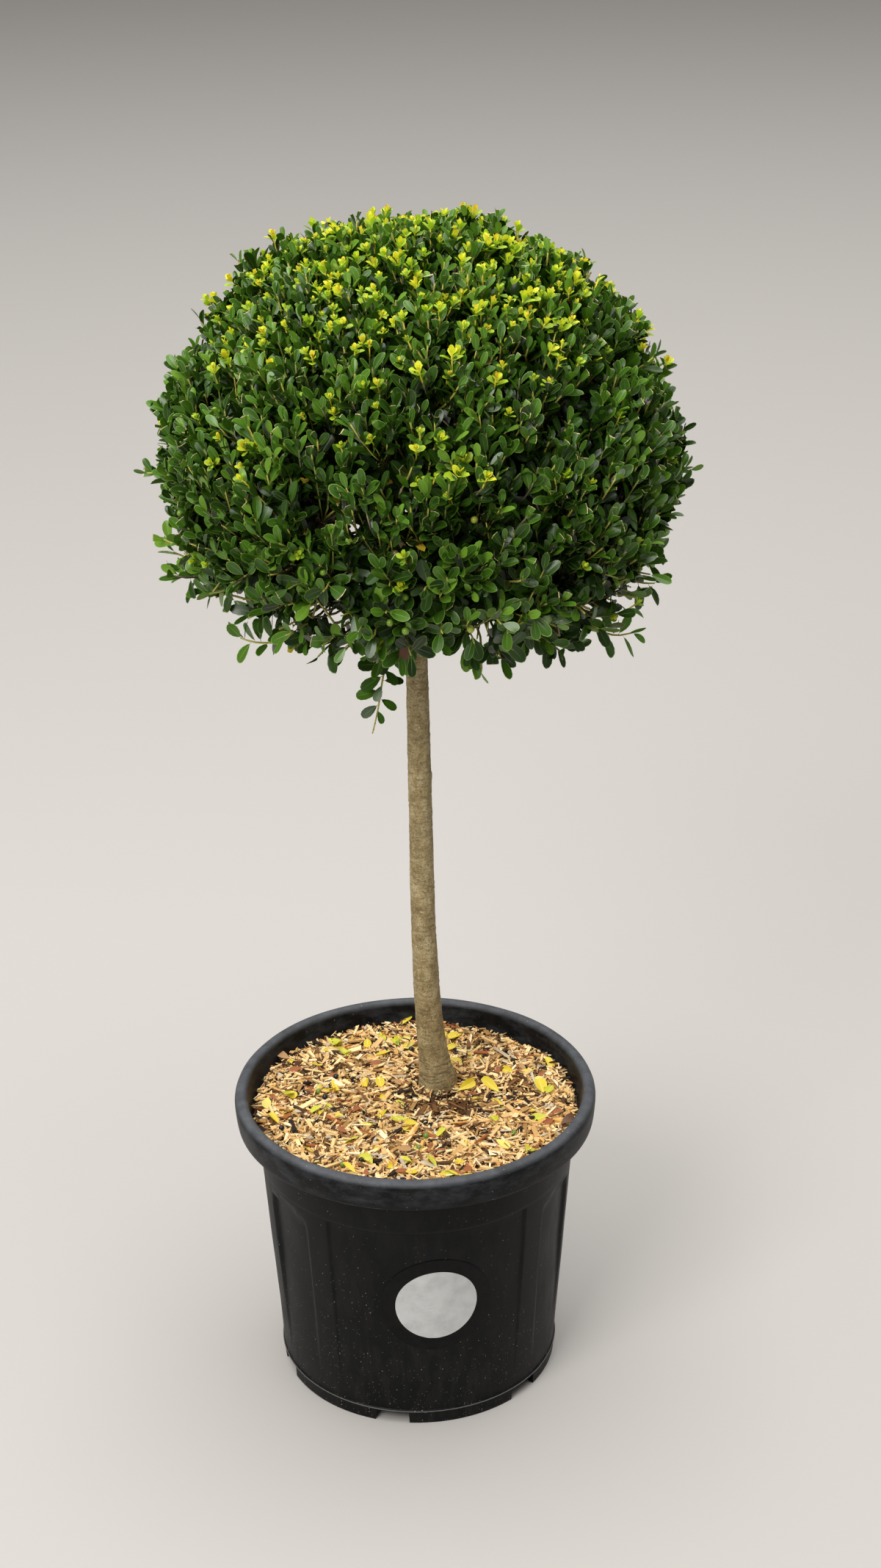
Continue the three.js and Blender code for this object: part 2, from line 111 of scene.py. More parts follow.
def make_mesh(name, verts, tris, materials, slots=None, smooth=True):
    """One object from points (N, 3) and triangles (M, 3), with a material slot for each triangle."""
    verts = np.ascontiguousarray(verts, np.float32)
    tris = np.ascontiguousarray(tris, np.int32)
    me = bpy.data.meshes.new(name)
    me.vertices.add(len(verts))
    me.vertices.foreach_set("co", verts.ravel())
    me.loops.add(tris.size)
    me.loops.foreach_set("vertex_index", tris.ravel())
    me.polygons.add(len(tris))
    me.polygons.foreach_set("loop_start", np.arange(0, tris.size, 3, dtype=np.int32))
    me.update(calc_edges=True)
    for m in materials:
        me.materials.append(m)
    if slots is not None:
        me.polygons.foreach_set("material_index", np.ascontiguousarray(slots, np.int32))
    me.polygons.foreach_set("use_smooth", np.full(len(tris), smooth))
    me.validate()
    me.update()
    ob = bpy.data.objects.new(name, me)
    bpy.context.scene.collection.objects.link(ob)
    return ob


def welded(ob):
    """Joins points that coincide and drops the faces that vanish with them."""
    bm = bmesh.new()
    bm.from_mesh(ob.data)
    bmesh.ops.remove_doubles(bm, verts=bm.verts, dist=1e-6)
    bmesh.ops.dissolve_degenerate(bm, edges=bm.edges, dist=1e-6)
    bm.to_mesh(ob.data)
    bm.free()
    return ob


class Pile:
    """Collects triangles with a slot each, to be joined into one object."""

    def __init__(self):
        self.v, self.t, self.s, self.n = [], [], [], 0

    def add(self, verts, tris, slot):
        verts = np.asarray(verts, float)
        tris = np.asarray(tris)
        self.v.append(verts)
        self.t.append(tris + self.n)
        self.s.append(np.broadcast_to(np.asarray(slot), (len(tris),)).copy())
        self.n += len(verts)

    def arrays(self):
        return np.concatenate(self.v), np.concatenate(self.t), np.concatenate(self.s)

    def build(self, name, materials, smooth=True):
        v, t, s = self.arrays()
        return make_mesh(name, v, t, materials, s, smooth)

    def count(self):
        return sum(len(t) for t in self.t)


def grid_tris(rows, cols, closed=True):
    """Triangles of a grid of rows by cols points; each row closes on itself."""
    i, j = np.meshgrid(np.arange(rows - 1), np.arange(cols if closed else cols - 1), indexing="ij")
    k = (j + 1) % cols
    a, b = i * cols + j, i * cols + k
    c, d = a + cols, b + cols
    return np.concatenate([np.stack([a, b, d], -1).reshape(-1, 3), np.stack([a, d, c], -1).reshape(-1, 3)])


def frames_along(points):
    """Tangent and two sideways directions at each point of paths (..., K, 3)."""
    p = np.asarray(points, float)
    t = np.gradient(p, axis=-2)
    t = unit(t)
    ref = np.broadcast_to(np.array([0.31, 0.87, 0.38]), t.shape)
    flat = np.abs(np.sum(t * ref, -1, keepdims=True)) > 0.93
    ref = np.where(flat, np.array([0.9, -0.2, 0.38]), ref)
    a = unit(np.cross(t, ref))
    return t, a, np.cross(t, a)


def tubes(points, radii, sides):
    """Closed tubes along many paths at once: points (N, K, 3), radii (N, K)."""
    p = np.asarray(points, float)
    n, k, _ = p.shape
    _, a, b = frames_along(p)
    ang = np.arange(sides) / sides * 2 * math.pi
    ring = a[:, :, None] * np.cos(ang)[None, None, :, None] + b[:, :, None] * np.sin(ang)[None, None, :, None]
    v = p[:, :, None] + ring * radii[:, :, None, None]
    base = grid_tris(k, sides)
    tris = base[None] + (np.arange(n) * (k * sides))[:, None, None]
    caps = []
    for s in range(1, sides - 1):
        caps.append([0, s + 1, s])
        o = (k - 1) * sides
        caps.append([o, o + s, o + s + 1])
    caps = np.array(caps)[None] + (np.arange(n) * (k * sides))[:, None, None]
    return v.reshape(-1, 3), np.concatenate([tris, caps], 1).reshape(-1, 3)


def bezier(a, b, c, k):
    """Curved paths from a to c, drawn towards b: (N, k, 3)."""
    t = np.linspace(0, 1, k)[None, :, None]
    a, b, c = a[:, None], b[:, None], c[:, None]
    return (1 - t) ** 2 * a + 2 * t * (1 - t) * b + t * t * c


# ------------------------------------------------------------------ materials
class Nodes:
    """Shorthand for a node material."""

    def __init__(self, name):
        self.mat = bpy.data.materials.new(name)
        self.mat.use_nodes = True
        self.tree = self.mat.node_tree
        self.tree.nodes.clear()
        self.out = self.tree.nodes.new("ShaderNodeOutputMaterial")
        self.shader = self.tree.nodes.new("ShaderNodeBsdfPrincipled")
        self.link(self.shader.outputs[0], self.out.inputs[0])
        self._place = None

    def link(self, a, b):
        self.tree.links.new(a, b)

    def place(self):
        if self._place is None:
            self._place = self.tree.nodes.new("ShaderNodeTexCoord").outputs["Object"]
        return self._place

    def put(self, node, socket, value):
        target = node.inputs[socket]
        if isinstance(value, bpy.types.NodeSocket):
            self.link(value, target)
        else:
            target.default_value = value

    def scaled(self, sx, sy, sz, loc=(0, 0, 0)):
        n = self.tree.nodes.new("ShaderNodeMapping")
        self.link(self.place(), n.inputs["Vector"])
        n.inputs["Scale"].default_value = (sx, sy, sz)
        n.inputs["Location"].default_value = loc
        return n.outputs[0]

    def noise(self, scale, detail=3.0, rough=0.55, vector=None, distortion=0.0):
        n = self.tree.nodes.new("ShaderNodeTexNoise")
        self.link(vector or self.place(), n.inputs["Vector"])
        n.inputs["Scale"].default_value = scale
        n.inputs["Detail"].default_value = detail
        n.inputs["Roughness"].default_value = rough
        n.inputs["Distortion"].default_value = distortion
        return n.outputs["Fac"]

    def voronoi(self, scale, feature="F1", out="Distance", vector=None, random=1.0):
        n = self.tree.nodes.new("ShaderNodeTexVoronoi")
        n.feature = feature
        self.link(vector or self.place(), n.inputs["Vector"])
        n.inputs["Scale"].default_value = scale
        n.inputs["Randomness"].default_value = random
        return n.outputs[out]

    def ramp(self, value, *stops):
        """stops are (position, grey or colour)."""
        n = self.tree.nodes.new("ShaderNodeValToRGB")
        self.link(value, n.inputs[0])
        e = n.color_ramp.elements
        while len(e) < len(stops):
            e.new(0.5)
        for el, (pos, c) in zip(e, stops):
            el.position = pos
            el.color = (c, c, c, 1) if isinstance(c, (int, float)) else (*c, 1)
        return n.outputs[0]

    def mix(self, fac, a, b, mode="MIX"):
        n = self.tree.nodes.new("ShaderNodeMix")
        n.data_type = "RGBA"
        n.blend_type = mode
        for socket, value in ((n.inputs[0], fac), (n.inputs[6], a), (n.inputs[7], b)):
            if isinstance(value, bpy.types.NodeSocket):
                self.link(value, socket)
            elif isinstance(value, (int, float)):
                socket.default_value = value if socket == n.inputs[0] else (value, value, value, 1)
            else:
                socket.default_value = (*value, 1)
        return n.outputs[2]

    def math(self, op, a, b=0.0, clamp=False):
        n = self.tree.nodes.new("ShaderNodeMath")
        n.operation = op
        n.use_clamp = clamp
        self.put(n, 0, a)
        self.put(n, 1, b)
        return n.outputs[0]

    def xyz(self, vector=None):
        n = self.tree.nodes.new("ShaderNodeSeparateXYZ")
        self.link(vector or self.place(), n.inputs[0])
        return n.outputs

    def bump(self, height, strength, distance, normal=None):
        n = self.tree.nodes.new("ShaderNodeBump")
        self.link(height, n.inputs["Height"])
        n.inputs["Strength"].default_value = strength
        n.inputs["Distance"].default_value = distance
        if normal is not None:
            self.link(normal, n.inputs["Normal"])
        return n.outputs[0]

    def set(self, **values):
        names = {
            "color": "Base Color",
            "roughness": "Roughness",
            "normal": "Normal",
            "specular": "Specular IOR Level",
            "coat": "Coat Weight",
            "coat_roughness": "Coat Roughness",
            "sheen": "Sheen Weight",
            "sheen_roughness": "Sheen Roughness",
        }
        for key, value in values.items():
            if key in ("color",) and isinstance(value, (tuple, list)):
                value = (*value, 1)
            self.put(self.shader, names[key], value)
        return self.mat


def leaf_material(name, color, roughness=0.42, through=0.16, coat=0.0, specular=0.5):
    """Plain colour, waxy gloss, and a little light coming through the blade."""
    n = Nodes(name)
    n.set(color=color, roughness=roughness, specular=specular)
    if coat:
        n.set(coat=coat, coat_roughness=0.3)
    if through:
        t = n.tree.nodes.new("ShaderNodeBsdfTranslucent")
        glow = np.clip(np.array(color) * (1.5, 1.65, 0.9), 0, 1)
        t.inputs[0].default_value = (*glow, 1)
        m = n.tree.nodes.new("ShaderNodeMixShader")
        m.inputs[0].default_value = through
        n.link(n.shader.outputs[0], m.inputs[1])
        n.link(t.outputs[0], m.inputs[2])
        n.link(m.outputs[0], n.out.inputs[0])
    return n.mat


def plain_material(name, color, roughness=0.8, specular=0.3):
    return Nodes(name).set(color=color, roughness=roughness, specular=specular)


# ------------------------------------------------------------------ sizes shared with the solids, in millimetres
STEM = np.array([
    [21.4, 37.6, 262.4, 18.6], [21.2, 37, 268, 17.8], [20.5, 35.7, 278, 16.9], [18.6, 33, 298, 14.8], [15.6, 29.4, 330, 13.1],
    [12.6, 25, 376, 12.2], [10.4, 22, 450, 11.3], [8.8, 19, 650, 10.1], [8, 17, 730, 9.6], [8, 15, 790, 9], [9.5, 12, 838, 6.8],
], float)
CROWN = dict(x=20, y=3, z=911, rx=225, ry=216, up=214, down=151, round_up=1.9, round_down=4.1, lift=20)
LUMP, VALLEY, SWELL_REACH = 5.5, 9, 0.42
RINGS = [
    ("crown_top", 1, 90, 0, [-2]),
    ("crown_upper", 5, 43, -64, [0, -3, 3, 9, -5]),
    ("crown_side", 7, 4, -90, [-4, 7, -9, 3, 2, 6, 10]),
    ("crown_skirt", 6, -40, -118, [3, 8, -4, 2, 0, -5]),
]
# smaller swells and dents of the clipped surface: azimuth, latitude, rise in mm, reach in radians
DENTS = [(-13, -21, -16, 0.19), (-82, -42, -12, 0.16), (-57, -40, -8, 0.13), (-35, -29, 8, 0.13), (118, 74, -9, 0.16), (45, 66, 9, 0.15), (-139, -34, 6, 0.13)]
# and single tufts that stand proud of it or notches between them, along its outline
TUFTS = [
    (-5, 8, 7), (1, 15, -8), (4, 30, 6), (13, 49, 8), (15, 55, -9), (51, 74, 6), (148, 58, -9), (152, 53, 8), (159, 44, 10), (164, 37, -9),
    (174, 21, 9), (180, 12, 6), (-176, 5, -8), (-174, 0, 4), (-165, -22, 3), (-10, -5, 4), (-79, -49, -10), (-60, -36, -9), (-41, -33, -8), (-28, -18, -9),
]
TUFT_REACH = 0.065
DENTS += [(az, lat, rise, TUFT_REACH) for az, lat, rise in TUFTS] + [(-140, -34, -15, 0.20)]
SEEDS, SWELLS, SEED_NAMES = [], [], []
for ring_name, count, lat, start, swells in RINGS:
    for i in range(count):
        az = (start + i * 360 / count) * D
        SEEDS.append((math.cos(lat * D) * math.cos(az), math.cos(lat * D) * math.sin(az), math.sin(lat * D)))
        SWELLS.append(swells[i])
        SEED_NAMES.append(ring_name if count == 1 else f"{ring_name}_{i + 1}")
SEEDS, SWELLS = np.array(SEEDS), np.array(SWELLS, float)
CENTRE = np.array([CROWN["x"], CROWN["y"], CROWN["z"]], float)


def crown_surface(d):
    """Points of the clipped surface in directions d from the crown's middle, in mm."""
    d = unit(d)
    across = np.hypot(d[:, 0] / CROWN["rx"], d[:, 1] / CROWN["ry"])
    high = d[:, 2] >= 0
    n = np.where(high, CROWN["round_up"], CROWN["round_down"])
    tall = np.abs(d[:, 2]) / np.where(high, CROWN["up"], CROWN["down"])
    rho = 1 / (across**n + tall**n) ** (1 / n)
    wave = (
        np.sin(5.1 * d[:, 0] + 3.3 * d[:, 2] + 0.8)
        + np.sin(4.4 * d[:, 1] - 4.9 * d[:, 2] + 2.1)
        + np.sin(7.7 * d[:, 0] - 6.1 * d[:, 1] + 4.3 * d[:, 2])
    )
    away = np.arccos(np.clip(d @ SEEDS.T, -1, 1))
    order = np.sort(away, 1)
    between = np.clip(1 - (order[:, 1] - order[:, 0]) / 0.28, 0, None)
    rho = rho + LUMP * wave / 3 - VALLEY * between**2 + np.exp(-((away / SWELL_REACH) ** 2)) @ SWELLS
    for az, lat, rise, reach in DENTS:
        middle = np.array([math.cos(lat * D) * math.cos(az * D), math.cos(lat * D) * math.sin(az * D), math.sin(lat * D)])
        rho = rho + rise * np.exp(-((np.arccos(np.clip(d @ middle, -1, 1)) / reach) ** 2))
    p = d * rho[:, None]
    low = p[:, 2] < 0
    p[:, 2] += np.where(low, CROWN["lift"] * np.clip(-p[:, 1] / CROWN["ry"], 0, None) * np.minimum(1, -p[:, 2] / 90), 0)
    return CENTRE + p


def crown_normal(d):
    d = unit(d)
    side = unit(np.cross(d, [0.3, 0.2, 0.9]))
    other = np.cross(d, side)
    e = 0.05
    u = crown_surface(d + e * side) - crown_surface(d - e * side)
    v = crown_surface(d + e * other) - crown_surface(d - e * other)
    n = unit(np.cross(u, v))
    return np.where(np.sum(n * d, 1, keepdims=True) < 0, -n, n)


def stem_at(z):
    return np.array([np.interp(z, STEM[:, 2], STEM[:, i]) for i in (0, 1)] + [z], float)


BOUGHS = [("crown_top", 838, 5.4, 84)]
BOUGHS += [(f"crown_upper_{i + 1}", h, 4.8, 52) for i, h in enumerate([815, 826, 808, 822, 812])]
BOUGHS += [(f"crown_side_{i + 1}", h, 4.6, 26) for i, h in enumerate([786, 796, 779, 791, 783, 799, 775])]


def bough_path(target, height, climb, length, k):
    """The line of one bough: straight out at its climb, turning up towards the light."""
    seed = SEEDS[SEED_NAMES.index(target)] * (1, 1, 0.86)
    goal = CENTRE + (0, 0, -6) + 150 * seed
    start = stem_at(height)
    flat = goal - start
    flat[2] = 0
    heading = unit(flat) if flat @ flat > 400 else np.array([0.2, -0.1, 0])
    out = np.array([heading[0] * math.cos(climb * D), heading[1] * math.cos(climb * D), math.sin(climb * D)])
    t = np.linspace(0, 1, k)[:, None]
    p = start + out * 150 * t * (length / 150)
    p[:, 2] += 16 * (t[:, 0] * length / 150) ** 2
    return p


# ------------------------------------------------------------------ camera, floor and light
camera = bpy.data.objects.new("camera", bpy.data.cameras.new("camera"))
bpy.context.scene.collection.objects.link(camera)
TILT, ROLL = 25.103 * D, -0.73 * D
fwd = Vector((0, math.cos(TILT), -math.sin(TILT)))
right, up = Vector((1, 0, 0)), Vector((0, math.sin(TILT), math.cos(TILT)))
r2 = math.cos(ROLL) * right + math.sin(ROLL) * up
u2 = -math.sin(ROLL) * right + math.cos(ROLL) * up
camera.matrix_world = Matrix((
    (r2.x, u2.x, -fwd.x, 0.027818),
    (r2.y, u2.y, -fwd.y, -2.197443),
    (r2.z, u2.z, -fwd.z, 1.632929),
    (0, 0, 0, 1),
))
camera.data.sensor_width = 36
camera.data.lens = 3700 * 36 / 2135
camera.data.clip_end = 200
bpy.context.scene.camera = camera

v = np.array([[-30, -30, 0], [30, -30, 0], [30, 30, 0], [-30, 30, 0]], float)
floor = make_mesh("studio_floor", v, [[0, 1, 2], [0, 2, 3]], [plain_material("studio_floor", (0.43, 0.41, 0.39), 0.85, 0.2)])
floor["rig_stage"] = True

world = bpy.data.worlds.new("studio")
bpy.context.scene.world = world
world.use_nodes = True
world.node_tree.nodes["Background"].inputs[0].default_value = (0.97, 0.98, 0.98, 1)
world.node_tree.nodes["Background"].inputs[1].default_value = 0.20
bpy.context.scene.view_settings.view_transform = "Standard"


def area_light(name, place, target, size, watts, color):
    light = bpy.data.lights.new(name, "AREA")
    light.shape = "SQUARE"
    light.size = size
    light.energy = watts
    light.color = color
    ob = bpy.data.objects.new(name, light)
    ob.location = place
    ob.rotation_euler = (Vector(target) - Vector(place)).to_track_quat("-Z", "Y").to_euler()
    bpy.context.scene.collection.objects.link(ob)
    return ob


area_light("soft_top", (0.0, 0.5, 6.5), (0, 0.1, 0), 9.0, 860, (1.0, 0.99, 0.97))
area_light("soft_key", (-1.6, -2.6, 2.9), (0, 0, 0.75), 1.7, 112, (1.0, 0.985, 0.95))

# ------------------------------------------------------------------ leaf templates
# a blade: v runs from its foot (0) to its tip (1), u from -1 to 1 across it
EDGE = [(0.35, 0.09), (0.80, 0.33), (1.0, 0.58), (0.88, 0.81), (0.48, 0.95)]
RIB_V, RIB_W = (-0.15, 0.0, 0.33, 0.66), (0.045, 0.055, 0.045, 0.03)
BLADE, RIB, CUT, MARGIN = range(4)


def leaf_template(shorn=False, rimmed=False):
    """Points (u, v), triangles, and what each triangle is. A shorn leaf has lost its end to the shears; a rimmed one
    has a pale strip along its edge, a painted highlight on the rolled margin.
    """
    pts, tris, kind = [], [], []
    top = 0.64
    for v_, w_ in zip(RIB_V, RIB_W):
        v_ = min(v_, top - 0.03) if shorn else v_
        pts += [(-w_, v_), (w_, v_)]
    pts.append((0, top if shorn else 0.955 if rimmed else 0.98))
    for i in range(3):
        a = 2 * i
        tris += [(a, a + 1, a + 3), (a, a + 3, a + 2)]
        kind += [RIB, RIB]
    tris.append((6, 7, 8))
    kind.append(RIB)
    edge = [(0.35, 0.09), (0.80, 0.33), (1.0, 0.56), (0.98, top), (0.5, top + 0.02)] if shorn else EDGE
    inner = [edge[0]] + [(u_ * 0.90, 0.55 + (v_ - 0.55) * 0.95) for u_, v_ in edge[1:]] if rimmed else edge
    if rimmed:
        pts.append((0, 1.0))
        end = len(pts) - 1
    for side in (-1, 1):
        r0, r1, r2_, tip_ = (2 + (side > 0), 4 + (side > 0), 6 + (side > 0), 8)
        e = len(pts)
        pts += [(side * u_, v_) for u_, v_ in inner]
        half = [(r0, e, r1), (e, e + 1, r1), (r1, e + 1, e + 2), (r1, e + 2, r2_), (r2_, e + 2, e + 3), (r2_, e + 3, tip_), (e + 3, e + 4, tip_)]
        kinds_ = [BLADE] * 7
        if shorn:
            # the browned strip along the cut
            s = len(pts)
            pts += [(side * 0.98, top), (0.0, top), (0.0, top + 0.036), (side * 0.93, top + 0.032)]
            half += [(s, s + 3, s + 1), (s + 3, s + 2, s + 1)]
            kinds_ += [CUT, CUT]
        if rimmed:
            o = len(pts) - 1
            pts += [(side * u_, v_) for u_, v_ in edge[1:]]
            half += [(e, o + 1, e + 1)]
            for i in (1, 2, 3):
                half += [(e + i, o + i, o + i + 1), (e + i, o + i + 1, e + i + 1)]
            half += [(e + 4, o + 4, end), (e + 4, end, tip_)]
            kinds_ += [MARGIN] * 9
        for (a, b, c), k_ in zip(half, kinds_):
            tris.append((a, b, c) if side > 0 else (a, c, b))
            kind.append(k_)
    return np.array(pts, float), np.array(tris), np.array(kind)


def small_template():
    """A simpler blade, for the leaves deep inside."""
    pts = [(0, -0.05), (0, 0.5), (0, 1), (0.9, 0.42), (0.8, 0.80), (-0.9, 0.42), (-0.8, 0.80)]
    tris = [(0, 3, 1), (1, 3, 4), (1, 4, 2), (0, 1, 5), (1, 6, 5), (1, 2, 6)]
    return np.array(pts, float), np.array(tris), np.zeros(6, int)


def young_template():
    """A short round-ended blade, for the cups of new leaves."""
    pts = [(0, -0.05), (0, 0.5), (0, 1)] + [(side * u_, v_) for side in (1, -1) for u_, v_ in ((0.62, 0.28), (1.0, 0.62), (0.62, 0.91))]
    tris = [(0, 3, 1), (3, 4, 1), (4, 5, 1), (5, 2, 1), (0, 1, 6), (6, 1, 7), (7, 1, 8), (8, 1, 2)]
    return np.array(pts, float), np.array(tris), np.zeros(8, int)


FULL_LEAF, SHORN_LEAF, RIMMED_LEAF, SMALL_LEAF = leaf_template(), leaf_template(shorn=True), leaf_template(rimmed=True), small_template()
YOUNG_LEAF = young_template()


def blades(template, e):
    """Many leaves at once, from a table with foot, along and face (N, 3) and one number each for the rest."""
    pts, tris, kind = template
    n = len(e["foot"])
    along = unit(e["along"])
    face = unit(e["face"] - along * np.sum(e["face"] * along, 1, keepdims=True))
    side = np.cross(along, face)
    u, vv = pts[:, 0][None], pts[:, 1][None]
    L, W = e["length"][:, None], e["width"][:, None] / 2
    x = u * W
    y = vv * L
    # the blade folds up along its rib, arches back towards its tip and twists a little
    z = np.abs(u) * W * e["fold"][:, None] - e["arch"][:, None] * L * np.clip(vv, 0, 1) ** 2
    z = z + e["cup"][:, None] * L * (np.abs(u) ** 2) * (np.clip(vv, 0, 1) - 0.3)
    tw = e["twist"][:, None] * vv
    x, z = x * np.cos(tw) - z * np.sin(tw), x * np.sin(tw) + z * np.cos(tw)
    v = e["foot"][:, None] + side[:, None] * x[..., None] + along[:, None] * y[..., None] + face[:, None] * z[..., None]
    t = tris[None] + (np.arange(n) * len(pts))[:, None, None]
    return v.reshape(-1, 3), t.reshape(-1, 3), np.broadcast_to(kind[None], (n, len(kind))).reshape(-1)


# ------------------------------------------------------------------ colours of the plant
def plant_colour(name, colour, rough, through=0.0):
    return leaf_material(name, colour, rough, through, 0.0, 0.40)


GREENS = [(0.008, 0.023, 0.002), (0.017, 0.050, 0.003), (0.034, 0.096, 0.006), (0.064, 0.160, 0.011), (0.120, 0.245, 0.019)]
leaf_mats = [plant_colour(f"leaf_green_{i + 1}", c, 0.31, 0.09) for i, c in enumerate(GREENS)]
S_RIB = len(leaf_mats)
leaf_mats += [plant_colour(f"leaf_rib_{i + 1}", c, 0.45) for i, c in enumerate([(0.105, 0.150, 0.030), (0.21, 0.29, 0.055), (0.46, 0.50, 0.08)])]
S_FRESH = len(leaf_mats)  # soft new green, yellow-green, yellow, amber
leaf_mats += [
    plant_colour("leaf_fresh", (0.17, 0.29, 0.020), 0.40, 0.16),
    plant_colour("leaf_young", (0.38, 0.53, 0.026), 0.42, 0.24),
    plant_colour("leaf_bright", (0.68, 0.70, 0.036), 0.42, 0.27),
    plant_colour("leaf_amber", (0.68, 0.50, 0.030), 0.45, 0.22),
]
S_FADED = len(leaf_mats)
leaf_mats += [plant_colour("leaf_faded", (0.58, 0.42, 0.04), 0.5, 0.16), plant_colour("leaf_dead", (0.12, 0.045, 0.020), 0.6)]
S_CUT = len(leaf_mats)
leaf_mats.append(plain_material("leaf_shorn_edge", (0.66, 0.53, 0.30), 0.7, 0.3))
# the lighter greens of the edge strips are painted highlights, the gloss along each leaf's rolled margin
S_EDGE_HIGHLIGHT = len(leaf_mats)
leaf_mats += [plant_colour("leaf_edge_highlight_1", (0.062, 0.122, 0.016), 0.42), plant_colour("leaf_edge_highlight_2", (0.150, 0.260, 0.036), 0.42)]
RIB_OF = np.array([S_RIB, S_RIB, S_RIB, S_RIB + 1, S_RIB + 1] + [0] * 3 + [S_RIB + 2] * 4 + [S_FADED, S_FADED + 1, 0])
RIB_OF[S_RIB : S_RIB + 3] = np.arange(S_RIB, S_RIB + 3)


def leaf_object(name, template, e):
    v, t, kind = blades(template, e)
    slot = np.repeat(e["slot"], len(template[1]))
    edge_highlight_slot = np.where(slot < 2, S_EDGE_HIGHLIGHT, np.where(slot < S_RIB, S_EDGE_HIGHLIGHT + 1, slot))
    slot = np.where(kind == RIB, RIB_OF[np.minimum(slot, S_CUT)], slot)
    slot = np.where(kind == CUT, S_CUT, slot)
    slot = np.where(kind == MARGIN, edge_highlight_slot, slot)
    ob = make_mesh(name, v / 1000, t, leaf_mats, slot)
    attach(ob, "root")
    return ob


class Table:
    """Leaves gathered as columns of numbers."""

    KEYS = ("foot", "along", "face", "length", "width", "fold", "arch", "cup", "twist", "slot")

    def __init__(self):
        self.parts = []

    def add(self, keep, **cols):
        self.parts.append({k: np.asarray(cols[k])[keep] for k in self.KEYS})

    def all(self):
        return {k: np.concatenate([p[k] for p in self.parts]) for k in self.KEYS}


# ------------------------------------------------------------------ branching inside the crown
def tree_of(points):
    tree = kdtree.KDTree(len(points))
    for i, q in enumerate(points):
        tree.insert(q, i)
    tree.balance()
    return tree


def spread_over(seed, count, spacing, scale=1.0):
    """Directions whose surface points keep their distance; spacing is a function of point and normal."""
    r = rng(seed)
    d = unit(r.normal(size=(count, 3)))
    p, n = crown_surface(d), crown_normal(d)
    # even out by area: keep a direction with a chance that grows with the area it stands for
    area = np.sum((p - CENTRE) ** 2, 1) / np.clip(np.sum(n * d, 1), 0.25, 1)
    keep = r.random(len(d)) < area / area.max()
    d, p, n = d[keep], p[keep], n[keep]
    gap = spacing(p, n) if callable(spacing) else np.full(len(p), float(spacing))
    p = CENTRE + (p - CENTRE) * scale
    tree = tree_of(p)
    dead = np.zeros(len(p), bool)
    chosen = []
    for i in range(len(p)):
        if dead[i]:
            continue
        chosen.append(i)
        for _, j, _ in tree.find_range(p[i], gap[i]):
            dead[j] = True
    return d[chosen]


def nearest(points, among):
    tree = tree_of(among)
    return np.array([tree.find(q)[1] for q in points])


def wobbled(r, paths, size):
    w = r.normal(size=paths.shape) * size
    w[:, 0] = w[:, -1] = 0
    return paths + w


UP = np.array([0, 0, 1.0])
TWIG_BARK, TWIG_GREEN, TWIG_YELLOW, TWIG_TIP = range(4)
twigs = Pile()

# boughs: the solids' own, carried on a little way into the leaves
bough_lines = [(bough_path(target, height, climb, 172, 15), r0) for target, height, r0, climb in BOUGHS]
anchors = np.array([line[i] for line, _ in bough_lines for i in (5, 8, 11, 14)])
anchor_r = np.array([r0 * k for _, r0 in bough_lines for k in (0.8, 0.68, 0.56, 0.42)])

# limbs, to two thirds of the way out
r = rng(12)
limb_d = spread_over(11, 12000, 40, 0.64)
limb_n = crown_normal(limb_d)
limb_p = CENTRE + (crown_surface(limb_d) - CENTRE) * 0.64 + r.normal(size=limb_d.shape) * 3
own = nearest(limb_p - limb_n * 25, anchors)
start = anchors[own]
flat = limb_p - start
mid = start + flat * 0.55 - UP * 0.10 * np.linalg.norm(flat, axis=1, keepdims=True)
paths = wobbled(r, bezier(start, mid, limb_p, 8), 1.5)
rad = 1.8 + np.linspace(1, 0, 8)[None] ** 0.8 * np.clip(anchor_r[own] - 1.9, 0.2, 1.6)[:, None]
v, t = tubes(paths, rad, 6)
twigs.add(v, t, TWIG_BARK)


def growth(p, n, r, loose):
    """The way shoots grow at surface points p with normals n: up on top, up and out on the sides, level below."""
    low = smooth_step(0.10, -0.75, n[:, 2])[:, None]
    band = smooth_step(845, 775, p[:, 2])[:, None] * (1 - low)
    flat = n * (1, 1, 0)
    flat = flat / np.maximum(np.linalg.norm(flat, axis=1, keepdims=True), 0.25)
    g = n * (0.62 - 0.32 * low) + UP * (0.72 - 0.45 * band) * (1 - low) + flat * (0.9 * low + 0.45 * band)
    return unit(g + r.normal(size=n.shape) * loose)


# branchlets, which end some five centimetres inside the clipped surface
r = rng(22)
br_d = spread_over(21, 20000, 22.5)
br_s, br_n = crown_surface(br_d), crown_normal(br_d)
br_g = growth(br_s, br_n, r, 0.12)
br_p = br_s - (br_g * 0.75 + br_n * 0.25) * r.uniform(42, 60, len(br_d))[:, None]
own = nearest(br_p - br_n * 15, limb_p)
start = limb_p[own]
pull = (br_p - br_g * 28) * 0.6 + (start + br_p) * 0.2
br_path = wobbled(r, bezier(start, pull, br_p, 6), 1.1)
rad = np.linspace(1.75, 1.05, 6)[None] * r.uniform(0.85, 1.1, len(br_path))[:, None]
v, t = tubes(br_path, rad, 3)
twigs.add(v, t, TWIG_BARK)


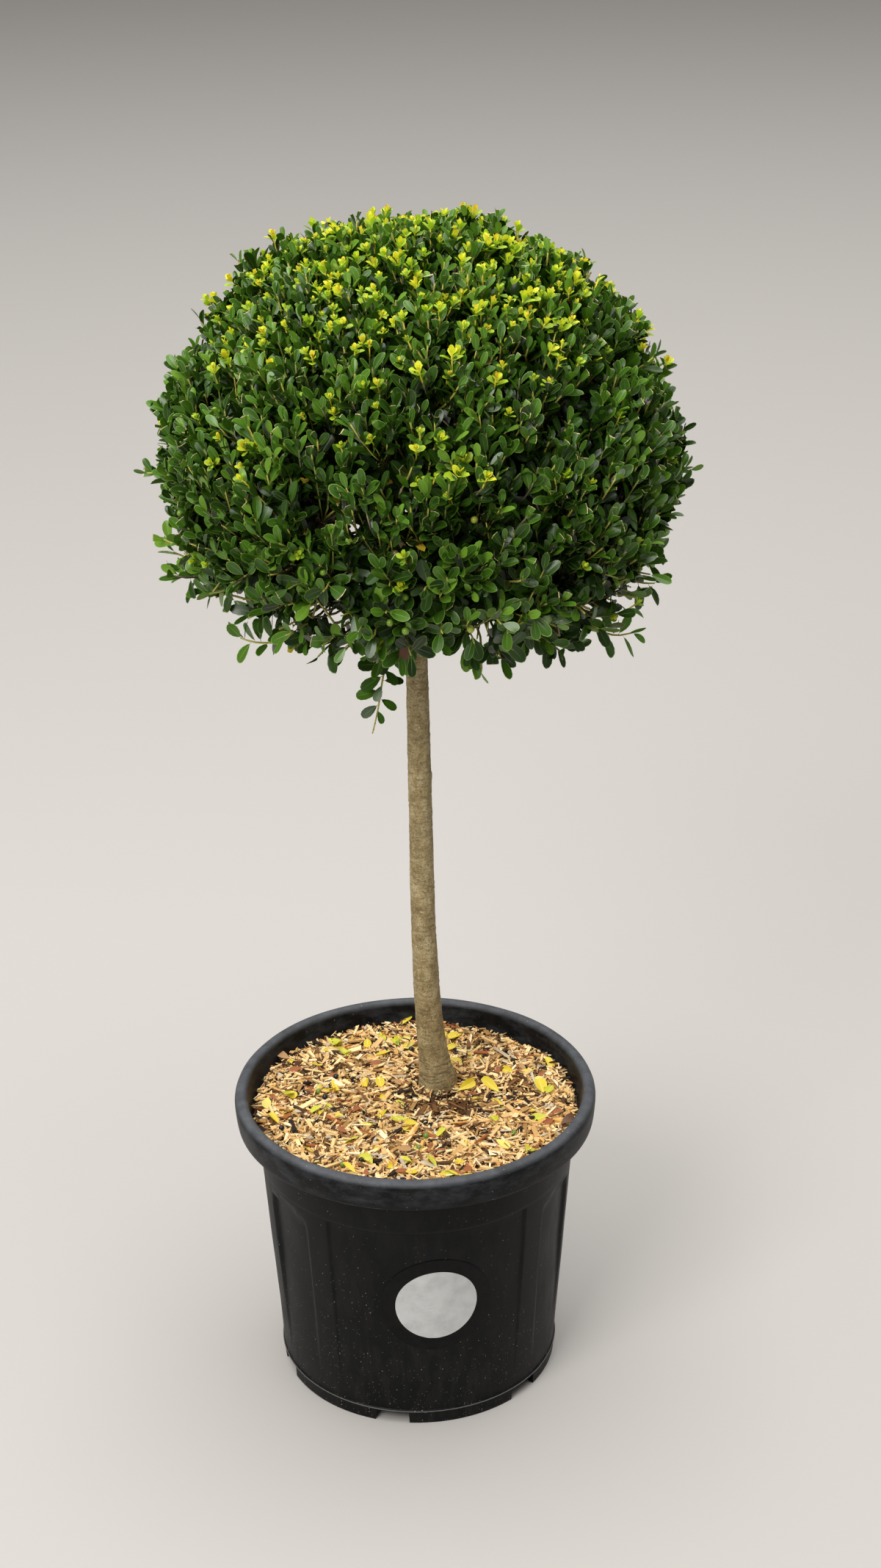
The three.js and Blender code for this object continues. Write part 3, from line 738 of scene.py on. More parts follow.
class Lines:
    """Paths that can be walked by distance."""

    def __init__(self, paths):
        self.p = np.asarray(paths, float)
        self.t = frames_along(self.p)[0]
        seg = np.linalg.norm(np.diff(self.p, axis=1), axis=2)
        self.seg = seg
        self.cum = np.concatenate([np.zeros((len(seg), 1)), np.cumsum(seg, 1)], 1)
        self.total = self.cum[:, -1]

    def at(self, dist):
        dist = np.clip(dist, 0, self.total)
        k = np.clip(np.sum(self.cum[:, 1:] < dist[:, None], 1), 0, self.seg.shape[1] - 1)
        i = np.arange(len(dist))
        f = ((dist - self.cum[i, k]) / np.maximum(self.seg[i, k], 1e-6))[:, None]
        return self.p[i, k] * (1 - f) + self.p[i, k + 1] * f, unit(self.t[i, k] * (1 - f) + self.t[i, k + 1] * f)


def dress(table, lines, seed, count, first, gap, lean, length, ratio, tone, light, light_w, lift, reach=0.9, grow_in=(1.0,), sideways=0.35, drop=0.03, hang=0.0):
    """Leaves spiralling down each line from its tip. lean is (at the tip, further down) in degrees."""
    n = len(lines.p)
    r = rng(seed)
    spin0 = r.uniform(0, 2 * math.pi, n)
    dist = first + r.uniform(0, 0.5, n)
    for k in range(count):
        dist = dist + (gap * r.uniform(0.8, 1.2, n) if k else 0)
        keep = (dist < lines.total * reach) & (r.random(n) > drop)
        p, a = lines.at(lines.total - dist)
        spin = spin0 + k * 137.5 * D + r.normal(0, 0.3, n)
        x = unit(np.cross(a, [0.23, 0.61, 0.76]))
        radial = x * np.cos(spin)[:, None] + np.cross(a, x) * np.sin(spin)[:, None]
        angle = (lean[0] + (lean[1] - lean[0]) * min(1.0, k / 5) + r.normal(0, 8, n)) * D
        along = a * np.cos(angle)[:, None] + radial * np.sin(angle)[:, None]
        rise = lift * np.where(r.random(n) < hang, -0.9, 1.0)
        along = unit(along + UP * rise[:, None] + r.normal(size=(n, 3)) * 0.08)
        face = unit(a - along * np.sum(a * along, 1, keepdims=True))
        face = face + light * light_w[:, None] + r.normal(size=(n, 3)) * 0.16
        # the stalk turns some blades about their own length
        face = unit(face) + unit(np.cross(along, face)) * r.normal(0, sideways, n)[:, None]
        L = length * grow_in[min(k, len(grow_in) - 1)] * r.normal(1, 0.07, n)
        one = tone + 0.42 - 0.24 * k + 1.35 * (r.random(n) < 0.18) - (r.random(n) < 0.28)
        slot = np.clip(np.round(one), 0, 4).astype(int)
        slot = np.where((k > 4) & (r.random(n) < 0.010), S_FADED + (r.random(n) < 0.4), slot)
        table.add(
            keep, foot=p + along * (0.15 * L)[:, None], along=along, face=face, length=L, width=L * ratio * r.normal(1, 0.06, n),
            fold=np.clip(r.normal(0.60, 0.16, n) - 0.34 * np.minimum(light_w, 1.05), 0.02, 0.9), arch=r.normal(0.09, 0.06, n), cup=r.normal(-0.05, 0.04, n), twist=r.normal(0, 0.16, n), slot=slot,
        )
    return spin0


def hollow_at(p):
    """Where the crown opens: above zero in the dark pockets between sprays."""
    return np.maximum(noise(p, 1 / 34, 3), noise(p, 1 / 46, 9)) - 0.37 - 0.13 * smooth_step(930, 1080, p[:, 2]) + 0.19 * smooth_step(875, 800, p[:, 2])


# outer shoots: their tips keep apart over the whole clipped surface
def shoot_gap(p, n):
    return 10.6 + 9.4 * smooth_step(866, 795, p[:, 2]) - 1.7 * smooth_step(940, 1085, p[:, 2]) + 3.0 * smooth_step(-0.55, -0.9, n[:, 2])


outer_leaves, young_leaves, inner_leaves = Table(), Table(), Table()
sd = spread_over(31, 60000, shoot_gap)
ss, sn = crown_surface(sd), crown_normal(sd)
r = rng(32)
keep = r.random(len(sd)) > 0.88 * smooth_step(0.0, 0.10, hollow_at(ss))
sd, ss, sn = sd[keep], ss[keep], sn[keep]
N = len(sd)
deep_one = r.random(N) < 0.24
clip = np.where(deep_one, r.uniform(-32, -18, N), -np.abs(r.normal(0, 4.0, N)) - 9.3)
proud = r.random(N) < 0.045
clip = np.where(proud, r.uniform(-6, 3, N), clip)
s_g = growth(ss, sn, r, 0.17)
tip = ss + sn * clip[:, None]
want = tip - s_g * 48
own = nearest(want, br_p)
base = br_p[own] + r.normal(size=(N, 3)) * 0.8
# each shoot starts at the end of its nearest branchlet
far = np.linalg.norm(tip - base, axis=1)
bend = tip - s_g * (0.55 * far)[:, None]
K = 9
s_path = bezier(base, bend, tip, K)
s_lines = Lines(s_path)
thick = r.uniform(0.85, 1.15, N)[:, None]
v, t = tubes(s_path[:, [0, 3, 6, 8]], np.linspace(1.05, 0.78, 4)[None] * thick, 3)
high = np.clip((tip[:, 2] - 755) / 365, 0, 1)
low = smooth_step(0.35, 0.05, high)
fresh_stem = r.random(N)
young_chance = (0.085 + 0.74 * smooth_step(0.58, 1.0, high + r.normal(size=N) * 0.10)) * smooth_step(-21, -14, clip)
young = (r.random(N) < young_chance) | (proud & (r.random(N) < 0.6) & (high > 0.35))
seg_slot = np.where(fresh_stem < 0.10, TWIG_BARK, np.where(fresh_stem < 0.50, TWIG_GREEN, TWIG_YELLOW))[:, None] * np.ones((1, len(t) // N), int)
# the last stretch under a young tip is yellow
last = np.tile((np.arange(3 * 3) // 3 >= 2), 2)
seg_slot[:, : len(last)] = np.where(young[:, None] & last[None], TWIG_TIP, seg_slot[:, : len(last)])
twigs.add(v, t, seg_slot.ravel().astype(int))
# the greens are lighter higher up the crown and a little lighter at its lowest edge, painted light where it falls
# strongest; shoots set deep get darker greens, painted shade
tone = np.clip(r.normal(1.75 + 0.62 * high + 0.16 * low + 0.30 * smooth_step(0.80, 1.0, high), 0.85) - 0.9 * deep_one, 0, 4)
light = unit(sn * (1, 1, 0.6) + UP * (0.8 - 0.45 * low)[:, None])
light_w = 0.30 + 0.75 * low + r.uniform(0, 0.25, N)
L = r.normal(18.0, 1.5, N) * (1 + 0.17 * low - 0.20 * smooth_step(0.40, 1.0, high))
first = np.where(young, r.uniform(6.5, 12.5, N), 0.6)
dress(
    outer_leaves, s_lines, 401, 9, first, r.uniform(3.9, 5.0, N) * (1 + 0.22 * low - 0.14 * high), (27, 55), L, 0.455 + 0.025 * low, tone, light, light_w,
    0.34 + 0.34 * low, 0.86, (0.74, 0.88, 0.97, 1.0), hang=0.30 * low,
)
# a table for shorn blades, never filled; the shorn ones are picked from the outer leaves further on
cut_table = Table()

# young tips: a cup of small bright leaves round a bud
buds = Pile()
Y = np.nonzero(young)[0]
ny = len(Y)
r = rng(33)
p0, a0 = s_lines.at(s_lines.total)
p0, a0 = p0[Y], unit(a0[Y] + UP * 0.15)
scale = r.uniform(0.60, 1.05, ny) + np.where(proud[Y], 0.20, 0.32 * (r.random(ny) < 0.10)) + 0.14 * smooth_step(0.80, 0.97, high[Y])
palette = np.clip(r.random(ny) - 0.35 * smooth_step(0.55, 0.30, high[Y]), 0, 1)
x0 = unit(np.cross(a0, [0.23, 0.61, 0.76]))
y0 = np.cross(a0, x0)
spin0 = r.uniform(0, 2 * math.pi, ny)
for k in range(8):
    # 0 is the outermost
    keep = r.random(ny) > (0.0 if k < 7 else 0.3)
    spin = spin0 + k * 137.5 * D + r.normal(0, 0.2, ny)
    radial = x0 * np.cos(spin)[:, None] + y0 * np.sin(spin)[:, None]
    angle = (56 - 6.8 * k + r.normal(0, 7, ny)) * D
    along = unit(a0 * np.cos(angle)[:, None] + radial * np.sin(angle)[:, None])
    face = a0 - along * np.sum(a0 * along, 1, keepdims=True)
    face = face + r.normal(size=(ny, 3)) * 0.12
    Ls = (9.8 - 0.70 * k) * scale * r.normal(1, 0.06, ny)
    foot = p0 - a0 * ((5.4 - 0.90 * k) * scale)[:, None]
    shade = 0.80 * palette + 0.125 * k + r.normal(0, 0.08, ny)
    slot = np.select([shade < 0.40, shade < 0.92, shade < 1.42], [S_FRESH, S_FRESH + 1, S_FRESH + 2], S_FRESH + 3)
    young_leaves.add(keep, foot=foot, along=along, face=face, length=Ls, width=Ls * r.normal(0.60, 0.05, ny), fold=r.normal(0.30, 0.1, ny),
                     arch=r.normal(0.10, 0.05, ny), cup=np.zeros(ny), twist=r.normal(0, 0.1, ny), slot=slot)
BUD_P = np.array([(0, 0, 0)] + [(math.cos(i * 90 * D), math.sin(i * 90 * D), 1.1) for i in range(4)] + [(0, 0, 3.0)])
BUD_T = np.array([(0, 2, 1), (0, 3, 2), (0, 4, 3), (0, 1, 4), (5, 1, 2), (5, 2, 3), (5, 3, 4), (5, 4, 1)])


def beads(p, a, size, long):
    """Small pointed beads standing on points p along a."""
    x = unit(np.cross(a, [0.23, 0.61, 0.76]))
    y = np.cross(a, x)
    q = BUD_P[None] * (1, 1, 1)
    s = size[:, None, None]
    v = p[:, None] + x[:, None] * q[..., 0:1] * s + y[:, None] * q[..., 1:2] * s + a[:, None] * q[..., 2:3] * s * long
    t = BUD_T[None] + (np.arange(len(p)) * 6)[:, None, None]
    return v.reshape(-1, 3), t.reshape(-1, 3)


v, t = beads(p0 + a0 * 0.6, a0, r.uniform(0.8, 1.25, ny), 1.1)
buds.add(v, t, np.repeat(r.choice([0, 0, 1], ny), 8))
# other shoots end in a small green bud or in the pale disc of a cut
O = np.nonzero(~young)[0]
p1, a1 = s_lines.at(s_lines.total)
v, t = beads(p1[O], a1[O], r.uniform(0.6, 0.95, len(O)), 0.8)
buds.add(v, t, np.repeat(r.choice([2, 2, 3], len(O)), 8))

# inner shoots: shorter, behind the outer ones, their darker greens painted shade inside the crown
r = rng(34)
nd = spread_over(35, 20000, 19.0)
ns, nn = crown_surface(nd), crown_normal(nd)
keep = r.random(len(nd)) < 1 - 0.9 * smooth_step(850, 800, ns[:, 2])
nd, ns, nn = nd[keep], ns[keep], nn[keep]
NI = len(nd)
tip_i = ns - nn * r.uniform(24, 48, NI)[:, None]
g_i = growth(ns, nn, r, 0.3)
own = nearest(tip_i - g_i * 35, br_p)
base_i = br_p[own]
i_path = bezier(base_i, tip_i - g_i * 14, tip_i, 5)
i_lines = Lines(i_path)
v, t = tubes(i_path[:, ::2], np.full((NI, 3), 0.8), 3)
twigs.add(v, t, TWIG_BARK)
dress(
    inner_leaves, i_lines, 402, 7, np.full(NI, 0.6), np.full(NI, 4.6), (32, 62), r.normal(19.5, 1.4, NI), 0.53, np.clip(r.normal(0.7, 0.6, NI), 0, 2),
    unit(nn + UP * 0.8), np.full(NI, 0.5), np.full(NI, 0.15), 0.95, (0.8, 0.95, 1.0),
)
# a few older leaves further in, on the branchlets, in the darkest greens, painted shade deep in the crown
r = rng(38)
cd = spread_over(39, 9000, 21.0, 0.62)
cs = CENTRE + (crown_surface(cd) - CENTRE) * 0.62
cs = cs[cs[:, 2] > 838]
deep_d = spread_over(40, 6000, 21.0, 0.36)
deep_s = CENTRE + (crown_surface(deep_d) - CENTRE) * 0.36
cs = np.concatenate([cs, deep_s[deep_s[:, 2] > 885]])
NC = len(cs)
own = nearest(cs, br_p)
c_path = bezier(br_p[own], (br_p[own] + cs) / 2 + r.normal(size=(NC, 3)) * 4, cs, 5)
v, t = tubes(c_path[:, ::2], np.full((NC, 3), 0.8), 3)
twigs.add(v, t, TWIG_BARK)
dress(
    inner_leaves, Lines(c_path), 405, 6, np.full(NC, 0.6), np.full(NC, 5.0), (35, 65), r.normal(19.5, 1.4, NC), 0.5, np.zeros(NC),
    unit(cs - CENTRE + UP * 60), np.full(NC, 0.4), np.full(NC, 0.1), 0.95, (0.85, 1.0),
)
print("outer shoots", N, "young", ny, "inner", NI, "branchlets", len(br_d), "limbs", len(limb_d))

# long low branches that reach out level round the rim, with leaves along them
r = rng(36)
RIM = 108
az = np.arange(RIM) / RIM * 2 * math.pi + r.uniform(-0.07, 0.07, RIM)
el = np.choose(np.arange(RIM) % 3, [r.uniform(-45, -38, RIM), r.uniform(-37, -28, RIM), r.uniform(-27, -14, RIM)]) * D
rd = np.stack([np.cos(az) * np.cos(el), np.sin(az) * np.cos(el), np.sin(el)], 1)
rs, rn = crown_surface(rd), crown_normal(rd)
flat = unit(rs - CENTRE - UP * (rs - CENTRE)[:, 2:3])
r_tip = rs + flat * r.uniform(-12, -1.5, RIM)[:, None] + UP * r.uniform(-1, 5, RIM)[:, None]
side = np.cross(UP, flat)
r_base = rs - flat * r.uniform(85, 105, RIM)[:, None] + UP * r.uniform(12, 24, RIM)[:, None] + side * r.uniform(-22, 22, RIM)[:, None]
own = nearest(r_base, limb_p)
r_base = r_base * 0.5 + limb_p[own] * 0.5
r_mid = (r_base + r_tip) / 2 + UP * r.uniform(-10, 0, RIM)[:, None] + side * r.uniform(-10, 10, RIM)[:, None]
r_path = wobbled(r, bezier(r_base, r_mid, r_tip, 13), 0.5)
r_lines = Lines(r_path)
v, t = tubes(r_path, np.linspace(1.5, 0.72, 13)[None] * np.ones((RIM, 1)), 5)
per = len(t) // RIM
twigs.add(v, t, np.where(r.random(RIM)[:, None] < 0.55, TWIG_GREEN, TWIG_YELLOW).repeat(per, 1).ravel())
r_light = unit(rn * (1, 1, 0.3) + UP * 0.45)
dress(
    outer_leaves, r_lines, 403, 13, np.full(RIM, 0.8), r.uniform(5.0, 6.8, RIM), (34, 68), r.normal(20.4, 1.2, RIM), 0.485, np.clip(r.normal(1.75, 0.6, RIM), 0, 4),
    r_light, np.full(RIM, 1.4), r.uniform(0.45, 0.80, RIM), 0.9, (0.78, 0.92, 1.0), 0.4, hang=0.32,
)

# sprigs seen at set places: base, bend and tip in millimetres, leaf length, tone, number of leaves
SPRIGS = [
    # the two that stand out furthest to the left and right
    ((-150, 10, 900), (-190, 6, 893), (-217, -4, 899), 15, 3.0, 8),
    ((176, 10, 898), (214, 6, 890), (243, 0, 894), 15, 2.8, 8),
    # lower left edge, one above the other
    ((-128, -32, 848), (-172, -34, 832), (-204, -22, 846), 19, 3.8, 9),
    ((-116, -46, 838), (-158, -46, 826), (-192, -40, 820), 18, 3.4, 9),
    ((-92, -56, 796), (-140, -62, 806), (-170, -56, 815), 19, 2.6, 10),
    ((-62, -70, 786), (-106, -88, 768), (-138, -86, 781), 20, 2.6, 11),
    ((-28, -84, 792), (-58, -96, 778), (-86, -102, 788), 20, 2.2, 9),
    # lower right edge
    ((118, -56, 790), (168, -72, 768), (192, -70, 775), 18, 2.9, 9),
    ((80, -74, 790), (116, -92, 770), (140, -92, 772), 20, 1.8, 9),
    ((148, -34, 832), (190, -42, 806), (212, -36, 806), 21, 1.2, 9),
    ((36, -84, 796), (50, -104, 776), (58, -112, 772), 20, 2.6, 8),
    # small ones that hang from the underside
    ((58, -70, 790), (68, -86, 768), (63, -90, 748), 13, 4.0, 5),
    ((2, -66, 792), (-10, -92, 778), (-24, -104, 776), 21, 2.4, 9),
    ((18, -64, 790), (-8, -86, 788), (-32, -98, 788), 20, 2.6, 9),
    ((2, -68, 778), (-12, -86, 768), (-27, -96, 762), 19, 1.8, 9),
]
r = rng(37)
ctrl = np.array([[b, m, e] for b, m, e, *_ in SPRIGS], float)
x_path = wobbled(r, bezier(ctrl[:, 0], ctrl[:, 1], ctrl[:, 2], 11), 0.4)
x_lines = Lines(x_path)
NX = len(SPRIGS)
v, t = tubes(x_path, np.linspace(1.3, 0.7, 11)[None] * np.ones((NX, 1)), 5)
twigs.add(v, t, TWIG_YELLOW)
x_len = np.array([s[3] for s in SPRIGS], float)
x_tone = np.array([s[4] for s in SPRIGS], float)
x_light = unit(np.array([0, -0.75, 0.55]) + np.zeros((NX, 3)))
dress(outer_leaves, x_lines, 404, 16, np.full(NX, 0.8), np.full(NX, 4.7), (36, 70), x_len, 0.48, x_tone, x_light, np.full(NX, 1.9), np.full(NX, 0.60), 0.9, (0.8, 0.92, 1.0), 0.35, 0.0, hang=0.33)

# the shoot that hangs below the crown beside the stem, its end bare
HANG = np.array([(-10, -66, 786), (-14, -70, 766), (-17.5, -69, 750), (-19.5, -68, 738), (-22.5, -68, 722), (-24.5, -68, 706), (-28, -68, 692), (-30, -68, 684)], float)
s = np.linspace(0, 1, 18)
hp = np.stack([np.interp(s, np.linspace(0, 1, len(HANG)), HANG[:, i]) for i in range(3)], 1)
kernel3 = lambda a_: np.concatenate([a_[:1], (a_[:-2] + 2 * a_[1:-1] + a_[2:]) / 4, a_[-1:]])
for _ in range(3):
    hp = kernel3(hp)
v, t = tubes(hp[None], np.linspace(1.15, 0.55, 18)[None], 6)
twigs.add(v, t, TWIG_YELLOW)
# each leaf: how far down the shoot, the way it points in the picture's plane, its turn out of it, length
HANG_LEAVES = [
    (0.02, (-0.95, 0.25), -0.3, 21), (0.06, (0.9, 0.1), -0.4, 20), (0.12, (-0.9, -0.15), -0.5, 21), (0.15, (0.75, -0.5), -0.5, 19), (0.2, (-0.3, -0.8), -0.6, 18),
    (0.27, (0.95, 0.3), -0.2, 17), (0.3, (-1.0, 0.05), -0.4, 21), (0.36, (0.6, -0.6), -0.6, 15), (0.42, (-0.8, -0.35), -0.6, 20), (0.47, (1.0, 0.12), -0.3, 16),
    (0.5, (-0.35, -0.75), -0.7, 14), (0.56, (-1.0, -0.1), -0.3, 19), (0.62, (0.75, -0.35), -0.5, 15), (0.67, (-0.8, -0.5), -0.4, 16), (0.72, (0.3, -0.8), -0.5, 11),
]
r = rng(61)
hang = Table()
for at_, (hx, hz), hy, length_ in HANG_LEAVES:
    p_ = np.array([[np.interp(at_, s, hp[:, i]) for i in range(3)]])
    along_ = unit(np.array([[hx, hy * 0.7, hz]]))
    face_ = np.array([[0.0, -0.75, 0.75]]) + r.normal(size=(1, 3)) * 0.22
    one = np.ones(1)
    hang.add(np.array([True]), foot=p_ + along_ * 0.15 * length_, along=along_, face=face_, length=one * length_, width=one * length_ * 0.56, fold=r.normal(0.15, 0.1, 1),
             arch=r.normal(0.1, 0.04, 1), cup=one * -0.05, twist=r.normal(0, 0.12, 1), slot=np.array([int(r.choice([1, 2, 2, 3]))]))
hang_ob = leaf_object("leaves_hanging", FULL_LEAF, hang.all())
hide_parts("hanging_shoot")
for at_ in (0.35, 0.55, 0.78, 0.86, 0.94):
    p_ = np.array([np.interp(at_, s, hp[:, i]) for i in range(3)])
    v, t = beads(p_[None], np.array([[0.6, -0.6, 0.5]]), np.array([0.75]), 0.6)
    twigs.add(v, t, TWIG_BARK)

# green fruit, singly and in twos in the axils, most of it in the lower half
def ball(rows=6, cols=9):
    lat = np.linspace(-math.pi / 2, math.pi / 2, rows)
    p_ = np.array([[math.cos(a_) * math.cos(b_), math.cos(a_) * math.sin(b_), math.sin(a_)] for a_ in lat for b_ in np.arange(cols) / cols * 2 * math.pi])
    return p_, grid_tris(rows, cols)


ball_p, ball_t = ball()
fruit = Pile()
r = rng(71)
weight = smooth_step(0.72, 0.35, high) * (clip < -3) + 0.02
picked = r.choice(N, 130, replace=False, p=weight / weight.sum())
for i in picked:
    q_, a_ = s_lines.at(s_lines.total - r.uniform(9, 24))
    for _ in range(r.choice([1, 1, 2])):
        off = unit(sn[i] * 1.0 + r.normal(size=3) * 0.4)
        c_ = q_[i] + off * 6.0
        size = r.uniform(2.6, 3.3)
        fruit.add(ball_p * size + c_, ball_t, int(r.choice([0, 0, 0, 0, 1, 2])))
        v, t = tubes(np.array([[q_[i], q_[i] + off * 1.8, q_[i] + off * 3.2]]), np.full((1, 3), 0.35), 3)
        twigs.add(v, t, TWIG_GREEN)
fruit_ob = welded(fruit.build("green_fruit", [plain_material("fruit_green", (0.15, 0.27, 0.020), 0.32, 0.5), plain_material("fruit_yellow_green", (0.32, 0.36, 0.04), 0.35, 0.5), plain_material("fruit_dull", (0.10, 0.11, 0.035), 0.4, 0.5)]))
fruit_ob.data.transform(Matrix.Scale(0.001, 4))
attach(fruit_ob, "root")

bud_ob = buds.build("buds", [plain_material("bud_amber", (0.62, 0.40, 0.03), 0.5, 0.4), plain_material("bud_yellow", (0.60, 0.56, 0.05), 0.5, 0.4), plain_material("bud_green", (0.16, 0.19, 0.03), 0.5, 0.4), plain_material("bud_cut", (0.45, 0.34, 0.17), 0.7, 0.3)])
bud_ob.data.transform(Matrix.Scale(0.001, 4))
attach(bud_ob, "root")

# the leaves' own objects
RIM_DEPTH = -13  # mm under the clipped surface down to which leaves are modelled with a pale margin strip, a painted highlight along the edge
crown_nodes = [n for n in frame["nodes"] if n.startswith("crown_")]
# small openings through the ball, where light shows between the sprays: two points
# on each one's line and its radius, in millimetres
OPENINGS = [
    ((-56, -140, 821), (-67, 130, 714), 5.0), ((-45, -140, 782), (-54, 130, 670), 2.6),
    ((-178, -140, 878), (-205, 130, 778), 2.2), ((150, -140, 1100), (166, 130, 1030), 3.0), ((149, -140, 825), (165, 130, 719), 3.6),
    ((59, -140, 806), (63, 130, 698), 3.6), ((-91, -140, 860), (-107, 130, 759), 3.6),
    ((182, -140, 830), (202, 130, 725), 2.0), ((195, -140, 857), (217, 130, 755), 1.2),
    ((-38, -140, 898), (-47, 130, 801), 2.4), ((70, -140, 811), (75, 130, 703), 2.6), ((181, -140, 842), (202, 130, 738), 1.4),
    ((-131, -140, 838), (-152, 130, 734), 2.4), ((-69, -140, 827), (-81, 130, 722), 3.0),
]


def clear_of_openings(leaf):
    """The leaves that don't reach across one of the openings."""
    clear = np.ones(len(leaf["foot"]), bool)
    for a, b, radius in OPENINGS:
        a, b = np.array(a, float), np.array(b, float)
        axis = unit(b - a)
        for share in (0.15, 0.4, 0.65, 0.9):
            q_ = leaf["foot"] + leaf["along"] * (leaf["length"] * share)[:, None] - a
            clear &= np.linalg.norm(q_ - (q_ @ axis)[:, None] * axis, axis=1) > radius + 3.0
    return {k: c[clear] for k, c in leaf.items()}


full = clear_of_openings(outer_leaves.all())
M = len(full["foot"])
r = rng(501)
# blades nearest the clipped surface may have been shorn
d_ = unit(full["foot"] + full["along"] * full["length"][:, None] - CENTRE)
over = np.linalg.norm(full["foot"] + full["along"] * full["length"][:, None] - CENTRE, axis=1) - np.linalg.norm(crown_surface(d_) - CENTRE, axis=1)
shorn = (r.random(M) < (0.46 * smooth_step(-14, 2, over) + 0.02) * (0.15 + 0.85 * smooth_step(810, 930, full["foot"][:, 2]))) & (full["slot"] < 5)
rimmed = ~shorn & (over > RIM_DEPTH)
for title, chosen, template in (("leaves", ~shorn & ~rimmed, FULL_LEAF), ("leaves_rimmed", rimmed, RIMMED_LEAF)):
    whole = np.nonzero(chosen)[0]
    whole = whole[np.argsort(full["foot"][whole, 2], kind="stable")]
    chunk = 196_000 // len(template[1])
    for j, i in enumerate(range(0, len(whole), chunk)):
        pick = whole[i : i + chunk]
        leaf_object(f"{title}_{j + 1}", template, {k: c[pick] for k, c in full.items()})
leaf_object("leaves_shorn", SHORN_LEAF, {k: c[shorn] for k, c in full.items()})
leaf_object("leaves_young", YOUNG_LEAF, clear_of_openings(young_leaves.all()))
leaf_object("leaves_inner", SMALL_LEAF, clear_of_openings(inner_leaves.all()))
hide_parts(*crown_nodes)
print("outer leaves", M, "shorn", int(shorn.sum()), "rimmed", int(rimmed.sum()), "young", len(young_leaves.all()["foot"]), "inner", len(inner_leaves.all()["foot"]))

# ------------------------------------------------------------------ bark
def bark_material():
    n = Nodes("bark")
    fine = n.noise(620, 5, 0.7)
    blotch = n.noise(95, 4, 0.62, n.scaled(1, 1, 0.6))
    streak = n.noise(210, 3, 0.6, n.scaled(1, 1, 0.22), 0.5)
    pores = n.noise(300, 3, 0.6, n.scaled(1, 1, 2.2), 0.4)
    wrinkle = n.noise(70, 4, 0.65, n.scaled(1, 1, 5.0), 0.3)
    foot = n.math("MULTIPLY", n.math("SUBTRACT", 0.34, n.xyz()[2]), 14.0, True)
    base = n.ramp(blotch, (0.33, (0.230, 0.165, 0.072)), (0.50, (0.370, 0.285, 0.140)), (0.68, (0.500, 0.415, 0.240)))
    base = n.mix(n.ramp(streak, (0.52, 0.0), (0.70, 0.55)), base, (0.270, 0.230, 0.110))
    base = n.mix(n.ramp(pores, (0.585, 0.0), (0.69, 0.7)), base, (0.640, 0.550, 0.370))
    dark = n.math("MULTIPLY", n.ramp(wrinkle, (0.40, 1.0), (0.49, 0.0)), n.math("ADD", 0.38, n.math("MULTIPLY", foot, 0.45)))
    base = n.mix(dark, base, (0.085, 0.062, 0.030))
    base = n.mix(n.ramp(fine, (0.34, 0.8), (0.50, 0.0)), base, (0.095, 0.064, 0.030))
    base = n.mix(n.ramp(fine, (0.60, 0.0), (0.74, 0.55)), base, (0.560, 0.480, 0.310))
    n.set(color=base, roughness=n.ramp(fine, (0.3, 0.70), (0.7, 0.9)), specular=0.3)
    n.set(normal=n.bump(n.mix(0.5, fine, wrinkle), 0.7, 0.0010))
    return n.mat


def twig_material():
    n = Nodes("twig_bark")
    n.set(color=n.ramp(n.noise(90, 2), (0.35, (0.10, 0.082, 0.048)), (0.7, (0.22, 0.19, 0.12))), roughness=0.8, specular=0.3)
    return n.mat


bark = bark_material()

trunk_pile = Pile()
rows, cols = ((260, 60))
# rows crowd together near the flare
zt = 262.4 + (838 - 262.4) * np.linspace(0, 1, rows) ** 1.12
cx, cy, cr = (np.interp(zt, STEM[:, 2], STEM[:, i]) for i in (0, 1, 3))
kernel = np.ones(15) / 15
soft = lambda a: np.convolve(np.pad(a, 7, mode="edge"), kernel, "valid")
cx, cy = soft(cx), soft(cy)
cr = np.where(zt < 300, cr, soft(cr))
ang = np.arange(cols) / cols * 2 * math.pi
ca, sa = np.cos(ang), np.sin(ang)
unit_pts = np.stack([np.broadcast_to(ca, (rows, cols)) * 12, np.broadcast_to(sa, (rows, cols)) * 12, np.broadcast_to(zt[:, None], (rows, cols))], -1).reshape(-1, 3)
relief = 0.60 * rough_noise(unit_pts * (1, 1, 0.35), 0.16, 3, 3) + 0.42 * rough_noise(unit_pts * (1, 1, 0.9), 0.5, 7, 2)
swirl = 0.035 * noise(unit_pts * (1, 1, 0.3), 0.045, 11)
# small raised pores, wider than tall
r = rng(41)
pores = np.zeros(rows * cols)
for _ in range(320):
    pz, pa = r.uniform(270, 800), r.uniform(0, 2 * math.pi)
    dz = (unit_pts[:, 2] - pz) / r.uniform(0.9, 1.5)
    da = np.angle(np.exp(1j * (np.arctan2(unit_pts[:, 1], unit_pts[:, 0]) - pa))) * 11 / r.uniform(1.4, 2.6)
    pores += 0.42 * np.exp(-(dz**2 + da**2))
